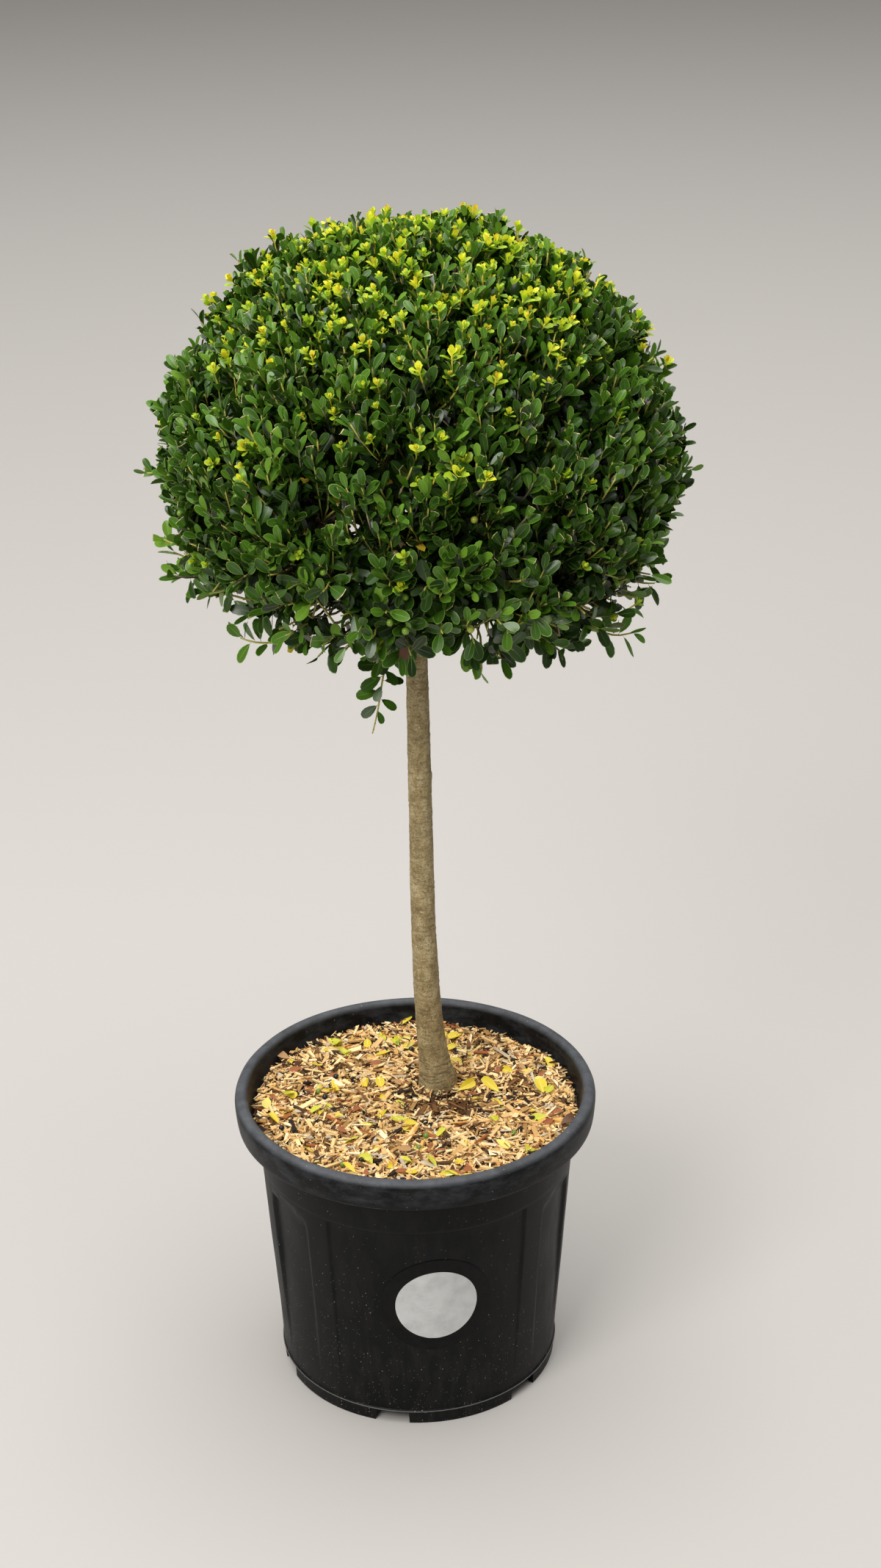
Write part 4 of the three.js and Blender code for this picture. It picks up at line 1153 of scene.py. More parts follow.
# old pruning scars
scars = np.zeros(rows * cols)
for pz, pa, size in ((395, -1.1, 4.5), (468, 2.2, 5), (531, -2.4, 4), (602, 0.4, 4.5), (664, -0.7, 4), (708, 1.9, 5)):
    dz = (unit_pts[:, 2] - pz) / size
    da = np.angle(np.exp(1j * (np.arctan2(unit_pts[:, 1], unit_pts[:, 0]) - pa))) * 11 / size
    q = dz**2 + da**2
    scars += 1.5 * np.exp(-q) - 1.0 * np.exp(-q * 7)
zz = unit_pts[:, 2]
foot = smooth_step(330, 262, zz)
burr = np.exp(-(((zz - 284) / 9) ** 2 + (np.angle(np.exp(1j * (np.arctan2(unit_pts[:, 1], unit_pts[:, 0]) + 0.35))) / 0.75) ** 2))
lobes = 0.13 * burr + foot * (0.10 * np.cos(3 * np.arctan2(unit_pts[:, 1], unit_pts[:, 0]) + 0.6) + 0.06 * np.cos(5 * np.arctan2(unit_pts[:, 1], unit_pts[:, 0]) + 2.0))
R = np.repeat(cr, cols) * (1 + swirl + lobes) + relief + pores + scars
tv = np.stack([np.repeat(cx, cols) + R * np.tile(ca, rows), np.repeat(cy, cols) + R * np.tile(sa, rows), zz], 1)
trunk_pile.add(tv, grid_tris(rows, cols), 0)
for row, flip in ((0, True), (rows - 1, False)):
    o = row * cols
    ringv = tv[o : o + cols]
    c = ringv.mean(0)
    t = np.array([(cols, j, (j + 1) % cols) if not flip else (cols, (j + 1) % cols, j) for j in range(cols)])
    trunk_pile.add(np.vstack([ringv, c]), t, 0)
for line, r0 in bough_lines:
    k = 40
    s = np.linspace(0, 1, k)
    pts = np.stack([np.interp(s, np.linspace(0, 1, len(line)), line[:, i]) for i in range(3)], 1)
    pts += 1.2 * np.stack([noise(pts, 0.03, 50 + i) for i in range(3)], 1) * smooth_step(0, 0.2, s)[:, None]
    flare = 1 + 0.7 * np.exp(-s * 14)
    rr = (r0 + (2.0 - r0) * s) * flare
    v, t = tubes(pts[None], rr[None], 14)
    v = v + unit(v - np.repeat(pts, 14, 0)) * (0.35 * rough_noise(v, 0.22, 60, 2))[:, None]
    trunk_pile.add(v, t, 0)
trunk_ob = trunk_pile.build("bark_stem", [bark])
trunk_ob.data.transform(Matrix.Scale(0.001, 4))
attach(trunk_ob, "root")
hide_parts("trunk", *[n for n in frame["nodes"] if n.startswith("bough")])

twig_ob = twigs.build("twigs", [twig_material(), plain_material("shoot_green", (0.19, 0.21, 0.040), 0.5, 0.4), plain_material("shoot_yellow", (0.36, 0.33, 0.055), 0.5, 0.4), plain_material("shoot_tip", (0.52, 0.45, 0.035), 0.5, 0.4)])
twig_ob.data.transform(Matrix.Scale(0.001, 4))
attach(twig_ob, "root")

# ------------------------------------------------------------------ container
BODY_R0, BODY_Z0, SLOPE = 132.2, 14, 0.0756
PANEL_CENTRE, PITCH, PANEL_HALF, FLUTE_HALF = 5, 120, 38, 11
PANEL_TOP, PANEL_FOOT = 224, 30
NOTCH_CENTRE, NOTCHES = -11, 6


def body_r(z):
    return BODY_R0 + (z - BODY_Z0) * SLOPE


def dense(profile, step):
    """Points along a line of (r, z), no further apart than step."""
    out = [np.array(profile[0], float)]
    for a, b in zip(profile[:-1], profile[1:]):
        a, b = np.array(a, float), np.array(b, float)
        n = max(1, int(math.ceil(np.linalg.norm(b - a) / step)))
        out += [a + (b - a) * i / n for i in range(1, n + 1)]
    return np.array(out)


def rounded(profile, radius_by_index):
    """Rounds chosen corners of a profile with short arcs."""
    out = []
    for i, p in enumerate(profile):
        if i in radius_by_index and 0 < i < len(profile) - 1:
            a, b, c = (np.array(profile[j], float) for j in (i - 1, i, i + 1))
            d = radius_by_index[i]
            s, e = b + unit(a - b) * min(d, np.linalg.norm(a - b) * 0.49), b + unit(c - b) * min(d, np.linalg.norm(c - b) * 0.49)
            for t in np.linspace(0, 1, 5):
                out.append((1 - t) ** 2 * s + 2 * t * (1 - t) * b + t * t * e)
        else:
            out.append(np.array(p, float))
    return out


lip_outer = [
    (151.0, 262.4), (154.6, 264.2), (157.0, 268.5), (158.6, 276), (160.6, 283.5), (162.9, 285.8), (165.4, 283.6), (166.5, 276), (165.6, 268.5), (163.9, 264.1),
    (165.0, 262.9), (167.0, 262.6), (167.7, 263.2), (168.1, 264.4), (168.7, 268.0), (169.3, 273.5), (169.8, 280.0), (169.9, 283.4), (169.5, 286.2), (168.5, 288.6), (166.9, 290.4), (164.8, 291.4),
    (162.4, 291.7), (160.3, 291.1), (158.7, 289.5), (157.6, 286.6), (156.4, 279.5), (154.9, 273), (152.6, 266.6), (147.8, 258.5), (145.9, 252),
]
wall_top = [(body_r(z), z) for z in (17.5, 20, 24, 30, 40, 60, 80, 100, 120, 140, 160, 180, 200, 214, 221.2, 222.6, 223.6, 224.6, 226.0, 228, 236, 250, 259.5)]
wall_top = [(r_, z) if z < 225 else (r_ + 0.35, z) for r_, z in wall_top]
SLOT_IN, SLOT_OUT, SLOT_HALF = 106, 118, 4.1  # drain slots through the floor: radii, half width in degrees
foot = [(0, 0), (30, 0), (30, 12), (SLOT_IN, 12), (SLOT_OUT, 12), (127.4, 12), (127.4, 0.0), (129.0, 0.0), (131.6, 0.0), (132.0, 0.8), (132.1, 4), (132.3, 9), (132.6, 12.4), (133.3, 13.1), (133.4, 13.8), (132.9, 14.6), (132.3, 15.4)]
inside = [(143.5, 225), (128, 24), (124.5, 16), (SLOT_OUT, 16), (SLOT_IN, 16), (0, 16)]
outer_line = foot + wall_top + lip_outer + inside
outer_line = np.array(outer_line, float)
def graded(profile):
    """The line in short steps where it shows, in long ones where it doesn't."""
    out = [profile[0]]
    for a_, b_ in zip(profile[:-1], profile[1:]):
        seen = min(a_[1], b_[1]) > 15 and max(a_[0], b_[0]) > 131
        out += list(dense([a_, b_], 12.0 if seen else 60.0)[1:])
    return np.array(out)


fine = graded(outer_line)
cols = 720
# columns crowd together at the edges of panels, flutes and notches
edges = []
for q in range(3):
    base = PANEL_CENTRE + q * PITCH
    edges += [base - PANEL_HALF, base + PANEL_HALF, base + PITCH / 2 - FLUTE_HALF, base + PITCH / 2 + FLUTE_HALF]
NOTCH_HALF = 7.0
for q in range(NOTCHES):
    edges += [NOTCH_CENTRE + 60 * q - NOTCH_HALF, NOTCH_CENTRE + 60 * q + NOTCH_HALF]
extra = []
for e in edges:
    extra += [e + x for x in (-1.6, -1.1, -0.7, -0.35, -0.12, 0.12, 0.35, 0.7, 1.1, 1.6)]
base_cols = np.arange(0, 360, 360 / (210))
slot_edges = [NOTCH_CENTRE + 60 * q + x for q in range(NOTCHES) for x in (-SLOT_HALF, SLOT_HALF)]
angles = np.unique(np.round(np.concatenate([base_cols, np.mod(extra, 360), np.mod(slot_edges, 360)]), 3))
angles = angles[np.append(np.diff(angles) > 0.06, True)]
na = len(angles)


def fold_angle(a):
    """Distance in degrees from the nearest panel's centre."""
    return np.abs((a - PANEL_CENTRE + PITCH / 2) % PITCH - PITCH / 2)


A = np.tile(angles, len(fine))
Rr = np.repeat(fine[:, 0], na)
Zz = np.repeat(fine[:, 1], na)
row_of = np.repeat(np.arange(len(fine)), na)
off = fold_angle(A)
panel = smooth_step(PANEL_HALF + 0.7, PANEL_HALF - 0.7, off)
flute = smooth_step(PITCH / 2 - FLUTE_HALF - 1.2, PITCH / 2 - FLUTE_HALF + 1.2, off)
# panels have a crisp top edge; flutes end in a rounded head a little lower
fade = np.clip((Zz - PANEL_FOOT) / (PANEL_TOP - PANEL_FOOT) * 1.7, 0, 1)
top_panel = smooth_step(224.2, 222.2, Zz)
head = 216 - 9 * (np.clip(np.abs(off - PITCH / 2) / FLUTE_HALF, 0, 1)) ** 2
top_flute = smooth_step(1.5, -2.5, Zz - head)
on_wall = (Zz > 15.2) & (Zz < 262) & (Rr > body_r(Zz) - 1.0) & (Rr < body_r(Zz) + 1.2)
sink = panel * top_panel * fade * 2.1 + flute * top_flute * fade * 3.6
# three faint upright draw lines on each panel
for line_off in (-25.6, -9.2, 7.5, 22.4):
    d = (A - PANEL_CENTRE + PITCH / 2) % PITCH - PITCH / 2 - line_off
    sink += 0.28 * np.exp(-((d / 0.55) ** 2)) * panel * top_panel * smooth_step(30, 90, Zz)
Rr = Rr - np.where(on_wall, sink, 0)
# the wall is thin and never quite round
pr = np.stack([np.sin(A * D), -np.cos(A * D), Zz / 160], 1)
wobble = 0.55 * noise(pr, 1.4, 5) + 0.25 * noise(pr, 3.5, 6)
Rr = Rr + np.where(Rr > 60, wobble * smooth_step(10, 60, Zz), 0)
# the lip's crest rises and falls a little
Zz = Zz + np.where((Zz > 262) & (Rr > 150), 0.5 * noise(pr * (1, 1, 0), 1.7, 8), 0)
# notches in the foot ring
cut = np.zeros(len(A), bool)
for q in range(NOTCHES):
    d = (A - (NOTCH_CENTRE + 60 * q) + 180) % 360 - 180
    cut |= np.abs(d) < NOTCH_HALF
Zz = np.where(cut & (Rr > 126) & (Zz < 11.9), 11.9, Zz)
pv = np.stack([Rr * np.sin(A * D), -Rr * np.cos(A * D), Zz], 1)
# rows on the axis collapse to one point each
pot = Pile()
t = grid_tris(len(fine), na)
# drain slots: the floor's two skins are opened between four rows, and walled between them
low_in, low_out, up_out, up_in = (int(np.argmin(np.abs(fine - np.array(q)).sum(1))) for q in ((SLOT_IN, 12), (SLOT_OUT, 12), (SLOT_OUT, 16), (SLOT_IN, 16)))
opened = np.zeros((len(fine) - 1, na), bool)
walls = []
for q in range(NOTCHES):
    turn = (angles - (NOTCH_CENTRE + 60 * q) + 180) % 360 - 180
    js = np.nonzero(np.abs(turn) < SLOT_HALF + 0.05)[0]
    js = js[np.argsort(turn[js])]
    for j, k in zip(js[:-1], js[1:]):
        opened[low_in, j] = opened[up_out, j] = True
        li, lo, uo, ui = ((row * na + j, row * na + k) for row in (low_in, low_out, up_out, up_in))
        walls += [(lo[1], lo[0], uo[0]), (lo[1], uo[0], uo[1]), (li[0], li[1], ui[1]), (li[0], ui[1], ui[0])]
    li, lo, uo, ui = (row * na + js[0] for row in (low_in, low_out, up_out, up_in))
    walls += [(lo, li, ui), (lo, ui, uo)]
    li, lo, uo, ui = (row * na + js[-1] for row in (low_in, low_out, up_out, up_in))
    walls += [(li, lo, uo), (li, uo, ui)]
kept = ~opened.ravel()
t = np.concatenate([t[np.concatenate([kept, kept])], np.array(walls)])
pot.add(pv, t, 0)
# ribs under the floor, between the notches
RIB_SECTION = np.array([(-2.0, 13.0), (-2.0, 0.9), (-1.5, 0.3), (1.5, 0.3), (2.0, 0.9), (2.0, 13.0)])
for q in range(NOTCHES):
    b = (NOTCH_CENTRE + 30 + 60 * q) * D
    along, across = np.array([math.sin(b), -math.cos(b), 0]), np.array([math.cos(b), math.sin(b), 0])
    ends = [along * rr_ + across * RIB_SECTION[:, :1] + UP * RIB_SECTION[:, 1:] for rr_ in (28.6, 129.0)]
    rib_t = [(i, (i + 1) % 6, (i + 1) % 6 + 6) for i in range(6)] + [(i, (i + 1) % 6 + 6, i + 6) for i in range(6)]
    rib_t += [(0, i + 1, i) for i in range(1, 5)] + [(6, i + 6, i + 7) for i in range(1, 5)]
    rib_v, rib_t = np.concatenate(ends), np.array(rib_t)
    corner = rib_v[rib_t] - rib_v.mean(0)
    if np.einsum("ij,ij->i", corner[:, 0], np.cross(corner[:, 1], corner[:, 2])).sum() < 0:
        rib_t = rib_t[:, ::-1]
    pot.add(rib_v, rib_t, 0)
v, t, sl = pot.arrays()
pot_v, pot_t = v, t


def pot_material():
    n = Nodes("black_moulded_plastic")
    x, y, z = n.xyz()[0:3]
    cloud = n.noise(16, 4, 0.6)
    scuff = n.noise(85, 5, 0.72, n.scaled(1, 1, 0.28), 0.3)
    grain = n.noise(900, 2, 0.5)
    low = n.math("MULTIPLY", n.math("SUBTRACT", 0.2, z), 5.0, True)  # 1 near the ground, 0 from 200 mm up
    high = n.math("MULTIPLY", n.math("SUBTRACT", z, 0.262), 120.0, True)  # the lip
    base = n.mix(n.ramp(cloud, (0.35, 0.0), (0.75, 1.0)), (0.0022, 0.0024, 0.0028), (0.0062, 0.0064, 0.0070))
    dust = n.math("MULTIPLY", n.ramp(scuff, (0.46, 0.0), (0.82, 1.0)), n.math("ADD", 0.30, n.math("MULTIPLY", low, 0.45)))
    base = n.mix(dust, base, (0.027, 0.0255, 0.0235))
    # the lip is scuffed all round, and its crest gets a painted bluish-grey sheen, the highlight that light from above
    # puts on it
    smear = n.math("MULTIPLY", high, n.ramp(n.noise(38, 5, 0.7, n.scaled(1, 1, 2.2)), (0.44, 0.0), (0.72, 0.75)))
    base = n.mix(smear, base, (0.040, 0.043, 0.049))
    crest = n.math("MULTIPLY", n.math("SUBTRACT", z, 0.2862), 260.0, True)
    painted_crest_sheen = n.math("MULTIPLY", crest, n.ramp(n.noise(60, 4, 0.68), (0.28, 0.45), (0.66, 1.0)))
    base = n.mix(painted_crest_sheen, base, (0.092, 0.098, 0.108))
    # specks of grit, more of them low down, of two sizes
    for scale, size, share, tint in ((520, 0.17, 0.955, (0.17, 0.16, 0.135)), (300, 0.13, 0.975, (0.30, 0.275, 0.23))):
        cells = n.voronoi(scale)
        chance = n.xyz(n.voronoi(scale, out="Color"))[0]
        limit = n.math("SUBTRACT", share, n.math("MULTIPLY", low, 0.18))
        speck = n.math("MULTIPLY", n.math("GREATER_THAN", chance, limit), n.math("LESS_THAN", cells, size))
        base = n.mix(n.math("MULTIPLY", speck, 0.9), base, tint)
    rough = n.mix(dust, n.ramp(cloud, (0.3, 0.40), (0.8, 0.52)), 0.75)
    n.set(color=base, roughness=rough, specular=0.13)
    n.set(normal=n.bump(n.mix(0.5, grain, scuff), 0.5, 0.0004))
    return n.mat


# the thin bright edge where the mould's halves met is a fine ridge; its pale colour is a painted highlight along it
seam = Pile()
for zc, rc, w, h in ((263.1, 167.0, 0.5, 0.5), (13.9, 133.35, 0.45, 0.45)):
    rows_ = np.array([(rc - 0.3, zc - w), (rc + h, zc - w * 0.3), (rc + h, zc + w * 0.3), (rc - 0.3, zc + w)])
    aa = np.arange(0, 360, 0.75)
    wob = 0.55 * noise(np.stack([np.sin(aa * D), -np.cos(aa * D), np.full(len(aa), zc / 160)], 1), 1.4, 5) + 0.25 * noise(np.stack([np.sin(aa * D), -np.cos(aa * D), np.full(len(aa), zc / 160)], 1), 3.5, 6)
    wob = wob * float(smooth_step(10, 60, zc))
    rag = 0.18 * noise(np.stack([np.sin(aa * D), -np.cos(aa * D), np.zeros(len(aa))], 1), 22, 9)
    vv = np.array([[(rr_ + wob[i] + rag[i]) * math.sin(a * D), -(rr_ + wob[i] + rag[i]) * math.cos(a * D), z_] for rr_, z_ in rows_ for i, a in enumerate(aa)])
    gt = grid_tris(4, len(aa))
    close = np.concatenate([np.stack([3 * len(aa) + np.arange(len(aa)), 3 * len(aa) + (np.arange(len(aa)) + 1) % len(aa), (np.arange(len(aa)) + 1) % len(aa)], 1), np.stack([3 * len(aa) + np.arange(len(aa)), (np.arange(len(aa)) + 1) % len(aa), np.arange(len(aa))], 1)])
    keep = np.ones(len(aa), bool)
    seam.add(vv, np.concatenate([gt, close]), 0)

pot_ob = welded(make_mesh("pot_shell", pot_v / 1000, pot_t, [pot_material()], None))
for p in pot_ob.data.polygons:
    p.use_smooth = True
bpy.context.view_layer.objects.active = pot_ob
pot_ob.select_set(True)
bpy.ops.object.shade_smooth_by_angle(angle=35 * D)
pot_ob.select_set(False)
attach(pot_ob, "root")
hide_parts("pot")
# the mould lines' pale grey is a painted highlight
seam_ob = seam.build("pot_mould_lines", [plain_material("mould_line_highlight", (0.095, 0.092, 0.086), 0.5, 0.4)])
seam_ob.data.transform(Matrix.Scale(0.001, 4))
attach(seam_ob, "root")

# ------------------------------------------------------------------ blank round label
LABEL_D, LABEL_ANGLE, LABEL_Z = 104, 7.5, 140


def wall_point(u, v, lift):
    """A point u mm round and v mm up from the label's middle, lift mm off the wall."""
    z = LABEL_Z + v
    r_ = body_r(z)
    a = LABEL_ANGLE * D + u / r_
    off = fold_angle(np.degrees(a))
    sink = smooth_step(PANEL_HALF + 0.7, PANEL_HALF - 0.7, off) * np.clip((z - PANEL_FOOT) / (PANEL_TOP - PANEL_FOOT) * 1.7, 0, 1) * 2.1
    q = np.stack([np.sin(a), -np.cos(a), z / 160], 1)
    w = 0.55 * noise(q, 1.4, 5) + 0.25 * noise(q, 3.5, 6)
    r_ = r_ - sink + w * smooth_step(10, 60, z) + lift
    return np.stack([r_ * np.sin(a), -r_ * np.cos(a), z], 1)


lcols = 112
fr = np.concatenate([np.linspace(0, 0.70, 15), [0.735, 0.745, 0.80, 0.87, 0.93, 0.97, 1.0]])
lrows = len(fr)
la = np.arange(lcols) / lcols * 2 * math.pi
F, T = np.meshgrid(fr, la, indexing="ij")
# a slightly leaning oval
lean = 24 * D
ou, ov = F * np.cos(T) * (LABEL_D / 2 + 0.9), F * np.sin(T) * (LABEL_D / 2 - 0.6)
U = (ou * math.cos(lean) - ov * math.sin(lean)).ravel()
V = (ou * math.sin(lean) + ov * math.cos(lean)).ravel()
q = np.stack([U, V, np.zeros_like(U)], 1)
crease = 0.28 * np.clip(1 - np.abs(noise(q, 0.045, 31)) * 5, 0, 1) + 0.16 * np.clip(1 - np.abs(noise(q * (0.6, 1.6, 1), 0.07, 33)) * 6, 0, 1)
crease *= smooth_step(1.0, 0.85, F.ravel()) * smooth_step(-0.1, 0.5, noise(q, 0.03, 35) + 0.35)
curl = 0.25 * smooth_step(0.93, 1.0, F.ravel()) * np.clip(noise(np.stack([np.cos(T.ravel()), np.sin(T.ravel()), np.zeros(T.size)], 1), 2.2, 37), 0, 1)
lv = wall_point(U, V, 0.62 + crease + curl)
lb = wall_point(U, V, 0.12)
lt = grid_tris(lrows, lcols)
nv = len(lv)
rim = np.array([[(lrows - 1) * lcols + j, (lrows - 1) * lcols + (j + 1) % lcols] for j in range(lcols)])
rim_t = np.concatenate([np.stack([rim[:, 0], rim[:, 0] + nv, rim[:, 1] + nv], 1), np.stack([rim[:, 0], rim[:, 1] + nv, rim[:, 1]], 1)])
label_v = np.concatenate([lv, lb])
label_t = np.concatenate([lt, lt[:, ::-1] + nv, rim_t])
ring_of = fr[np.minimum(np.max((label_t % nv) // lcols, 1), lrows - 1)]
label_slot = np.where(ring_of > 0.738, 1, 0)
label_slot[len(lt) : 2 * len(lt)] = 1


def label_material():
    n = Nodes("label_paper")
    stain = n.noise(60, 4, 0.6)
    fleck = n.voronoi(320)
    base = n.ramp(stain, (0.3, (0.41, 0.414, 0.41)), (0.55, (0.51, 0.514, 0.51)), (0.8, (0.575, 0.58, 0.575)))
    base = n.mix(n.math("MULTIPLY", n.math("LESS_THAN", fleck, 0.06), 0.6), base, (0.12, 0.11, 0.10))
    n.set(color=base, roughness=n.ramp(stain, (0.3, 0.34), (0.8, 0.5)), specular=0.5)
    n.set(normal=n.bump(n.noise(140, 3, 0.6), 0.15, 0.0006))
    return n.mat


def label_margin_material():
    n = Nodes("label_margin")
    n.set(color=n.ramp(n.noise(120, 4, 0.6), (0.35, (0.0022, 0.0022, 0.0024)), (0.8, (0.0060, 0.0060, 0.0064))), roughness=0.42, specular=0.12)
    return n.mat


label_ob = welded(make_mesh("blank_label", label_v / 1000, label_t, [label_material(), label_margin_material()], label_slot))
bpy.context.view_layer.objects.active = label_ob
label_ob.select_set(True)
bpy.ops.object.shade_smooth_by_angle(angle=50 * D)
label_ob.select_set(False)
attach(label_ob, "root")
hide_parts("pot_label")

# ------------------------------------------------------------------ growing medium and wood chips
STEM_FOOT = np.array([21.3, 37.2])


def ground(x, y):
    """Height of the chips' bed, in mm."""
    r_ = np.hypot(x, y)
    q = np.stack([x, y, np.zeros_like(x)], 1)
    h = 267.2 + 2.6 * noise(q, 0.016, 21) + 1.1 * noise(q, 0.05, 23)
    h -= 2.0 * np.exp(-((x - 26) ** 2 + (y - 4) ** 2) / 900)
    h += 2.4 * np.exp(-(((np.hypot(x - STEM_FOOT[0], y - STEM_FOOT[1]) - 21) / 7) ** 2))
    h += 1.5 * smooth_step(120, 152, r_)
    return h


rr_ = np.concatenate([np.linspace(0, 140, 30), np.linspace(143, 154.2, 5)])
aa = np.arange(0, 360, 3.6)
G, H = np.meshgrid(rr_, aa * D, indexing="ij")
gx, gy = (G * np.sin(H)).ravel(), (-G * np.cos(H)).ravel()
q = np.stack([gx, gy, np.zeros_like(gx)], 1)
gz = ground(gx, gy) + 1.0 * rough_noise(q, 0.16, 25, 3)
gz = np.where(np.hypot(gx, gy) > 150, np.minimum(gz, 268.5), gz)
bed_v = np.stack([gx, gy, gz], 1)
bed_t = grid_tris(len(rr_), len(aa))
low_v = bed_v.copy()
low_v[:, 2] = 256
low_v[:, 0:2] *= 0.93
rim = np.array([[(len(rr_) - 1) * len(aa) + j, (len(rr_) - 1) * len(aa) + (j + 1) % len(aa)] for j in range(len(aa))])
nv = len(bed_v)
rim_t = np.concatenate([np.stack([rim[:, 0], rim[:, 0] + nv, rim[:, 1] + nv], 1), np.stack([rim[:, 0], rim[:, 1] + nv, rim[:, 1]], 1)])


def bed_material():
    n = Nodes("chip_bed")
    a = n.noise(260, 5, 0.7)
    b = n.voronoi(330)
    # the bed's dark browns are partly the colour of the fines under the chips and partly painted shade in the gaps
    # between them
    base = n.ramp(a, (0.3, (0.014, 0.008, 0.005)), (0.5, (0.048, 0.028, 0.013)), (0.72, (0.16, 0.10, 0.046)))
    base = n.mix(n.ramp(b, (0.1, 0.6), (0.5, 0.0)), base, (0.03, 0.02, 0.012))
    n.set(color=base, roughness=0.95, specular=0.2)
    n.set(normal=n.bump(a, 0.8, 0.002))
    return n.mat


bed = welded(make_mesh("chip_bed", np.concatenate([bed_v, low_v]) / 1000, np.concatenate([bed_t, bed_t[:, ::-1] + nv, rim_t]), [bed_material()]))
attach(bed, "root")
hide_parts("mulch")


def soil_material():
    n = Nodes("compost")
    a = n.noise(180, 5, 0.7)
    n.set(color=n.ramp(a, (0.3, (0.012, 0.008, 0.005)), (0.7, (0.05, 0.034, 0.022))), roughness=0.95, specular=0.2)
    n.set(normal=n.bump(a, 0.8, 0.003))
    return n.mat


soil = frame["nodes"]["compost"]
soil.data.materials.clear()
soil.data.materials.append(soil_material())

CHIP_COLORS = [
    (0.74, 0.49, 0.215), (0.61, 0.37, 0.135), (0.92, 0.70, 0.37), (0.36, 0.20, 0.070), (0.18, 0.085, 0.028),
    (0.085, 0.040, 0.015), (0.022, 0.013, 0.008), (0.56, 0.49, 0.37), (0.74, 0.42, 0.12), (0.84, 0.60, 0.27), (0.93, 0.79, 0.51), (0.34, 0.11, 0.030),
]
CHIP_SHARE = [0.16, 0.11, 0.19, 0.08, 0.08, 0.07, 0.06, 0.04, 0.04, 0.12, 0.06, 0.03]


def chips(seed, count, long_mm, ratio, thick, layer):
    """Split slivers of wood, lying at all angles."""
    r = rng(seed)
    rad = 153.0 * np.sqrt(r.uniform(0, 1, count))
    a = r.uniform(0, 2 * math.pi, count)
    x, y = rad * np.cos(a), rad * np.sin(a)
    sliver = ratio[1] < 0.2
    L = np.clip(r.lognormal(math.log(long_mm), 0.42, count), 2.5, 21)
    W = L * r.uniform(*ratio, count)
    W = np.clip(W, 0.55 if sliver else 0.9, 5.0)
    H = np.minimum(W * 0.8, r.uniform(*thick, count))
    stem_gap = np.hypot(x - STEM_FOOT[0], y - STEM_FOOT[1]) > 16.5 + L * 0.3
    fit = rad + L * 0.42 < 154.5
    keep = stem_gap & fit
    x, y, L, W, H, rad = (q_[keep] for q_ in (x, y, L, W, H, rad))
    n = len(x)
    yaw = r.uniform(0, 2 * math.pi, n)
    pitch = r.normal(0, 0.20, n)
    roll = r.normal(0, 0.30, n)
    # a box whose ends are split at a slant and whose sides are not parallel
    cx_ = np.array([-1, 1, 1, -1, -1, 1, 1, -1]) * 0.5
    cy_ = np.array([-1, -1, 1, 1, -1, -1, 1, 1]) * 0.5
    cz_ = np.array([0, 0, 0, 0, 1, 1, 1, 1]) * 1.0
    px = cx_[None] * L[:, None] * (1 + r.uniform(-0.16, 0.16, (n, 8)))
    taper = 1 - 0.45 * r.random((n, 1)) * (cx_[None] > 0)
    py = cy_[None] * W[:, None] * taper * (1 + r.uniform(-0.18, 0.18, (n, 8)))
    pz = cz_[None] * H[:, None] * (1 + r.uniform(-0.4, 0.2, (n, 8)))
    bow = r.normal(0, 0.05, (n, 1)) * L[:, None]
    pz = pz + bow * (cx_[None] ** 2) * 4
    cr_, sr_ = np.cos(roll)[:, None], np.sin(roll)[:, None]
    py, pz = py * cr_ - pz * sr_, py * sr_ + pz * cr_
    cp_, sp_ = np.cos(pitch)[:, None], np.sin(pitch)[:, None]
    px, pz = px * cp_ - pz * sp_, px * sp_ + pz * cp_
    cw, sw = np.cos(yaw)[:, None], np.sin(yaw)[:, None]
    X = x[:, None] + px * cw - py * sw
    Y = y[:, None] + px * sw + py * cw
    zb = ground(x, y) + layer * r.uniform(0.1, 1.0, n) + 0.2
    Z = zb[:, None] + pz
    v = np.stack([X, Y, Z], -1).reshape(-1, 3)
    quads = [(0, 3, 2, 1), (4, 5, 6, 7), (0, 1, 5, 4), (1, 2, 6, 5), (2, 3, 7, 6), (3, 0, 4, 7)]
    tri = np.array([q_ for a_, b_, c_, d_ in quads for q_ in ((a_, b_, c_), (a_, c_, d_))])
    t = (tri[None] + (np.arange(n) * 8)[:, None, None]).reshape(-1, 3)
    share = np.cumsum(CHIP_SHARE) / sum(CHIP_SHARE)
    tone = np.searchsorted(share, r.random(n))
    # darker chips in a patch in front of the stem
    dark_patch = np.exp(-(((x - 30) / 42) ** 2 + ((y + 2) / 26) ** 2)) + 0.25 * np.clip(noise(np.stack([x, y, 0 * x], 1), 0.02, 81), 0, 1)
    darker = r.random(n) < 0.75 * np.clip(dark_patch, 0, 1)
    tone = np.where(darker, r.choice([3, 4, 5, 5, 6], n), tone)
    return v, t, np.repeat(np.minimum(tone, len(CHIP_SHARE) - 1), 12)


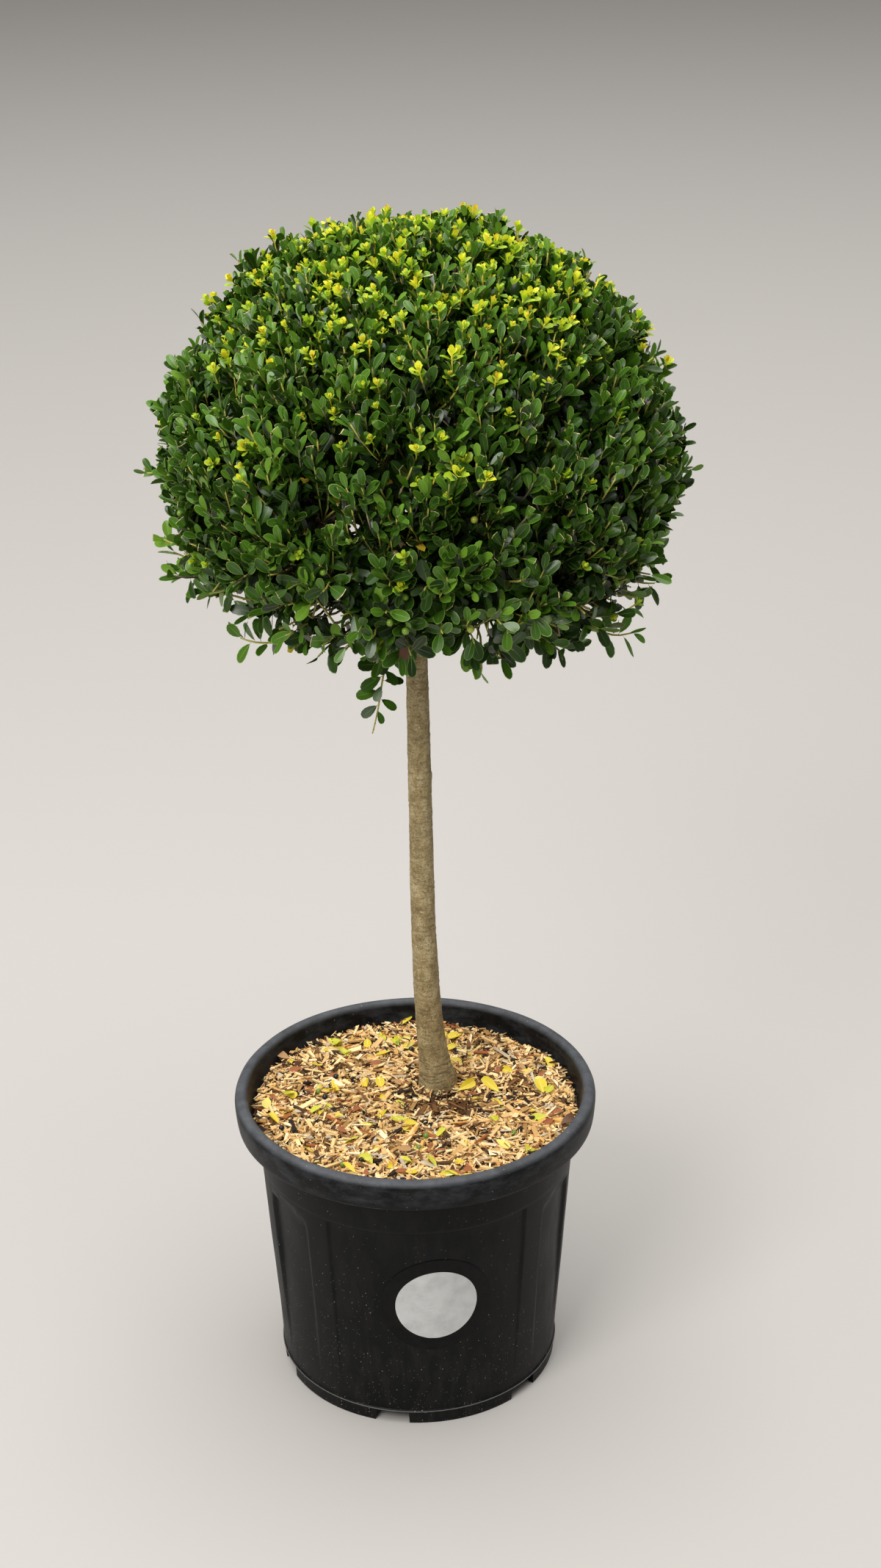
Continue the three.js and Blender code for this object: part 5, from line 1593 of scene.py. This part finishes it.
chip_pile = Pile()
for args in (
    (81, 2300, 5.5, (0.25, 0.5), (0.6, 1.8), 1.2),
    (82, 2400, 7.5, (0.17, 0.38), (0.8, 2.2), 3.2),
    (83, 1500, 10.0, (0.13, 0.28), (0.9, 2.2), 4.8),
    (84, 2300, 3.6, (0.3, 0.7), (0.5, 1.3), 4.6),
    (85, 2600, 8.5, (0.07, 0.13), (0.4, 0.9), 5.4),
):
    chip_pile.add(*chips(*args))
chip_mats = []
for i, c in enumerate(CHIP_COLORS):
    chip_mats.append(plain_material(f"wood_chip_{i + 1}", tuple(np.array(c) * (0.93, 0.90, 0.86)), 0.8, 0.25))
chip_ob = chip_pile.build("wood_chips", chip_mats, smooth=False)
chip_ob.data.transform(Matrix.Scale(0.001, 4))
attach(chip_ob, "root")

# fallen leaves
r = rng(91)
n = 165
rad = 150 * np.sqrt(r.uniform(0, 1, n))
a = r.uniform(0, 2 * math.pi, n)
x, y = rad * np.cos(a), rad * np.sin(a)
# a few more lie to the right and along the wall
x = x + 0.12 * (150 - np.abs(x)) * r.random(n)
ok = (np.hypot(x - STEM_FOOT[0], y - STEM_FOOT[1]) > 24) & (np.hypot(x, y) < 146)
x, y = x[ok], y[ok]
n = len(x)
foot_ = np.stack([x, y, ground(x, y) + 5.4 + r.uniform(-0.8, 1.0, n)], 1)
a = r.uniform(0, 2 * math.pi, n)
along = unit(np.stack([np.cos(a), np.sin(a), r.normal(0, 0.12, n)], 1))
face = unit(np.stack([r.normal(0, 0.22, n), r.normal(0, 0.22, n), np.ones(n)], 1))
kinds = r.choice([0, 1, 2, 3, 4, 5], n, p=[0.35, 0.17, 0.11, 0.17, 0.08, 0.12])
length = np.clip(r.normal(15.0, 3.2, n), 8, 21) * np.where(kinds > 2, 0.78, 1.0)
v, t, kind = blades(FULL_LEAF, dict(foot=foot_, along=along, face=face, length=length, width=length * r.normal(0.52, 0.05, n), fold=r.normal(0.30, 0.28, n), arch=r.normal(0.10, 0.20, n), cup=r.normal(0, 0.12, n), twist=r.normal(0, 0.45, n)))
slot = np.repeat(kinds, len(FULL_LEAF[1]))
slot = np.where((kind == RIB) & (slot < 3), 6, slot)
fallen_mats = [
    leaf_material("fallen_yellow", (0.70, 0.54, 0.026), 0.5, 0.14),
    leaf_material("fallen_lemon", (0.56, 0.55, 0.035), 0.5, 0.14),
    leaf_material("fallen_pale", (0.76, 0.66, 0.15), 0.55, 0.12),
    leaf_material("fallen_rust", (0.30, 0.088, 0.020), 0.6, 0.05),
    leaf_material("fallen_brown", (0.13, 0.060, 0.030), 0.6, 0.05),
    leaf_material("fallen_tan", (0.42, 0.23, 0.09), 0.6, 0.05),
    leaf_material("fallen_rib", (0.78, 0.70, 0.22), 0.6, 0.0),
]
fallen = make_mesh("fallen_leaves", v / 1000, t, fallen_mats, slot)
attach(fallen, "root")

drops = Pile()
r = rng(95)
for k in range(13):
    rad, a = 146 * math.sqrt(r.random()), r.uniform(0, 2 * math.pi)
    x, y = rad * math.cos(a), rad * math.sin(a)
    if math.hypot(x - STEM_FOOT[0], y - STEM_FOOT[1]) < 26:
        continue
    z = float(ground(np.array([x]), np.array([y]))[0]) + 5.5
    drops.add(ball_p * r.uniform(2.5, 3.3) + (x, y, z), ball_t, k % 2)
drop_ob = welded(drops.build("fallen_fruit", [plain_material("fallen_fruit_green", (0.14, 0.22, 0.03), 0.4, 0.5), plain_material("fallen_fruit_black", (0.010, 0.009, 0.010), 0.35, 0.5)]))
drop_ob.data.transform(Matrix.Scale(0.001, 4))
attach(drop_ob, "root")

total = 0
for o in bpy.data.objects:
    if o.type == "MESH" and not o.hide_render and not o.get("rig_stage"):
        total += len(o.data.polygons)
        print(o.name, len(o.data.polygons))
print("triangles in all", total)
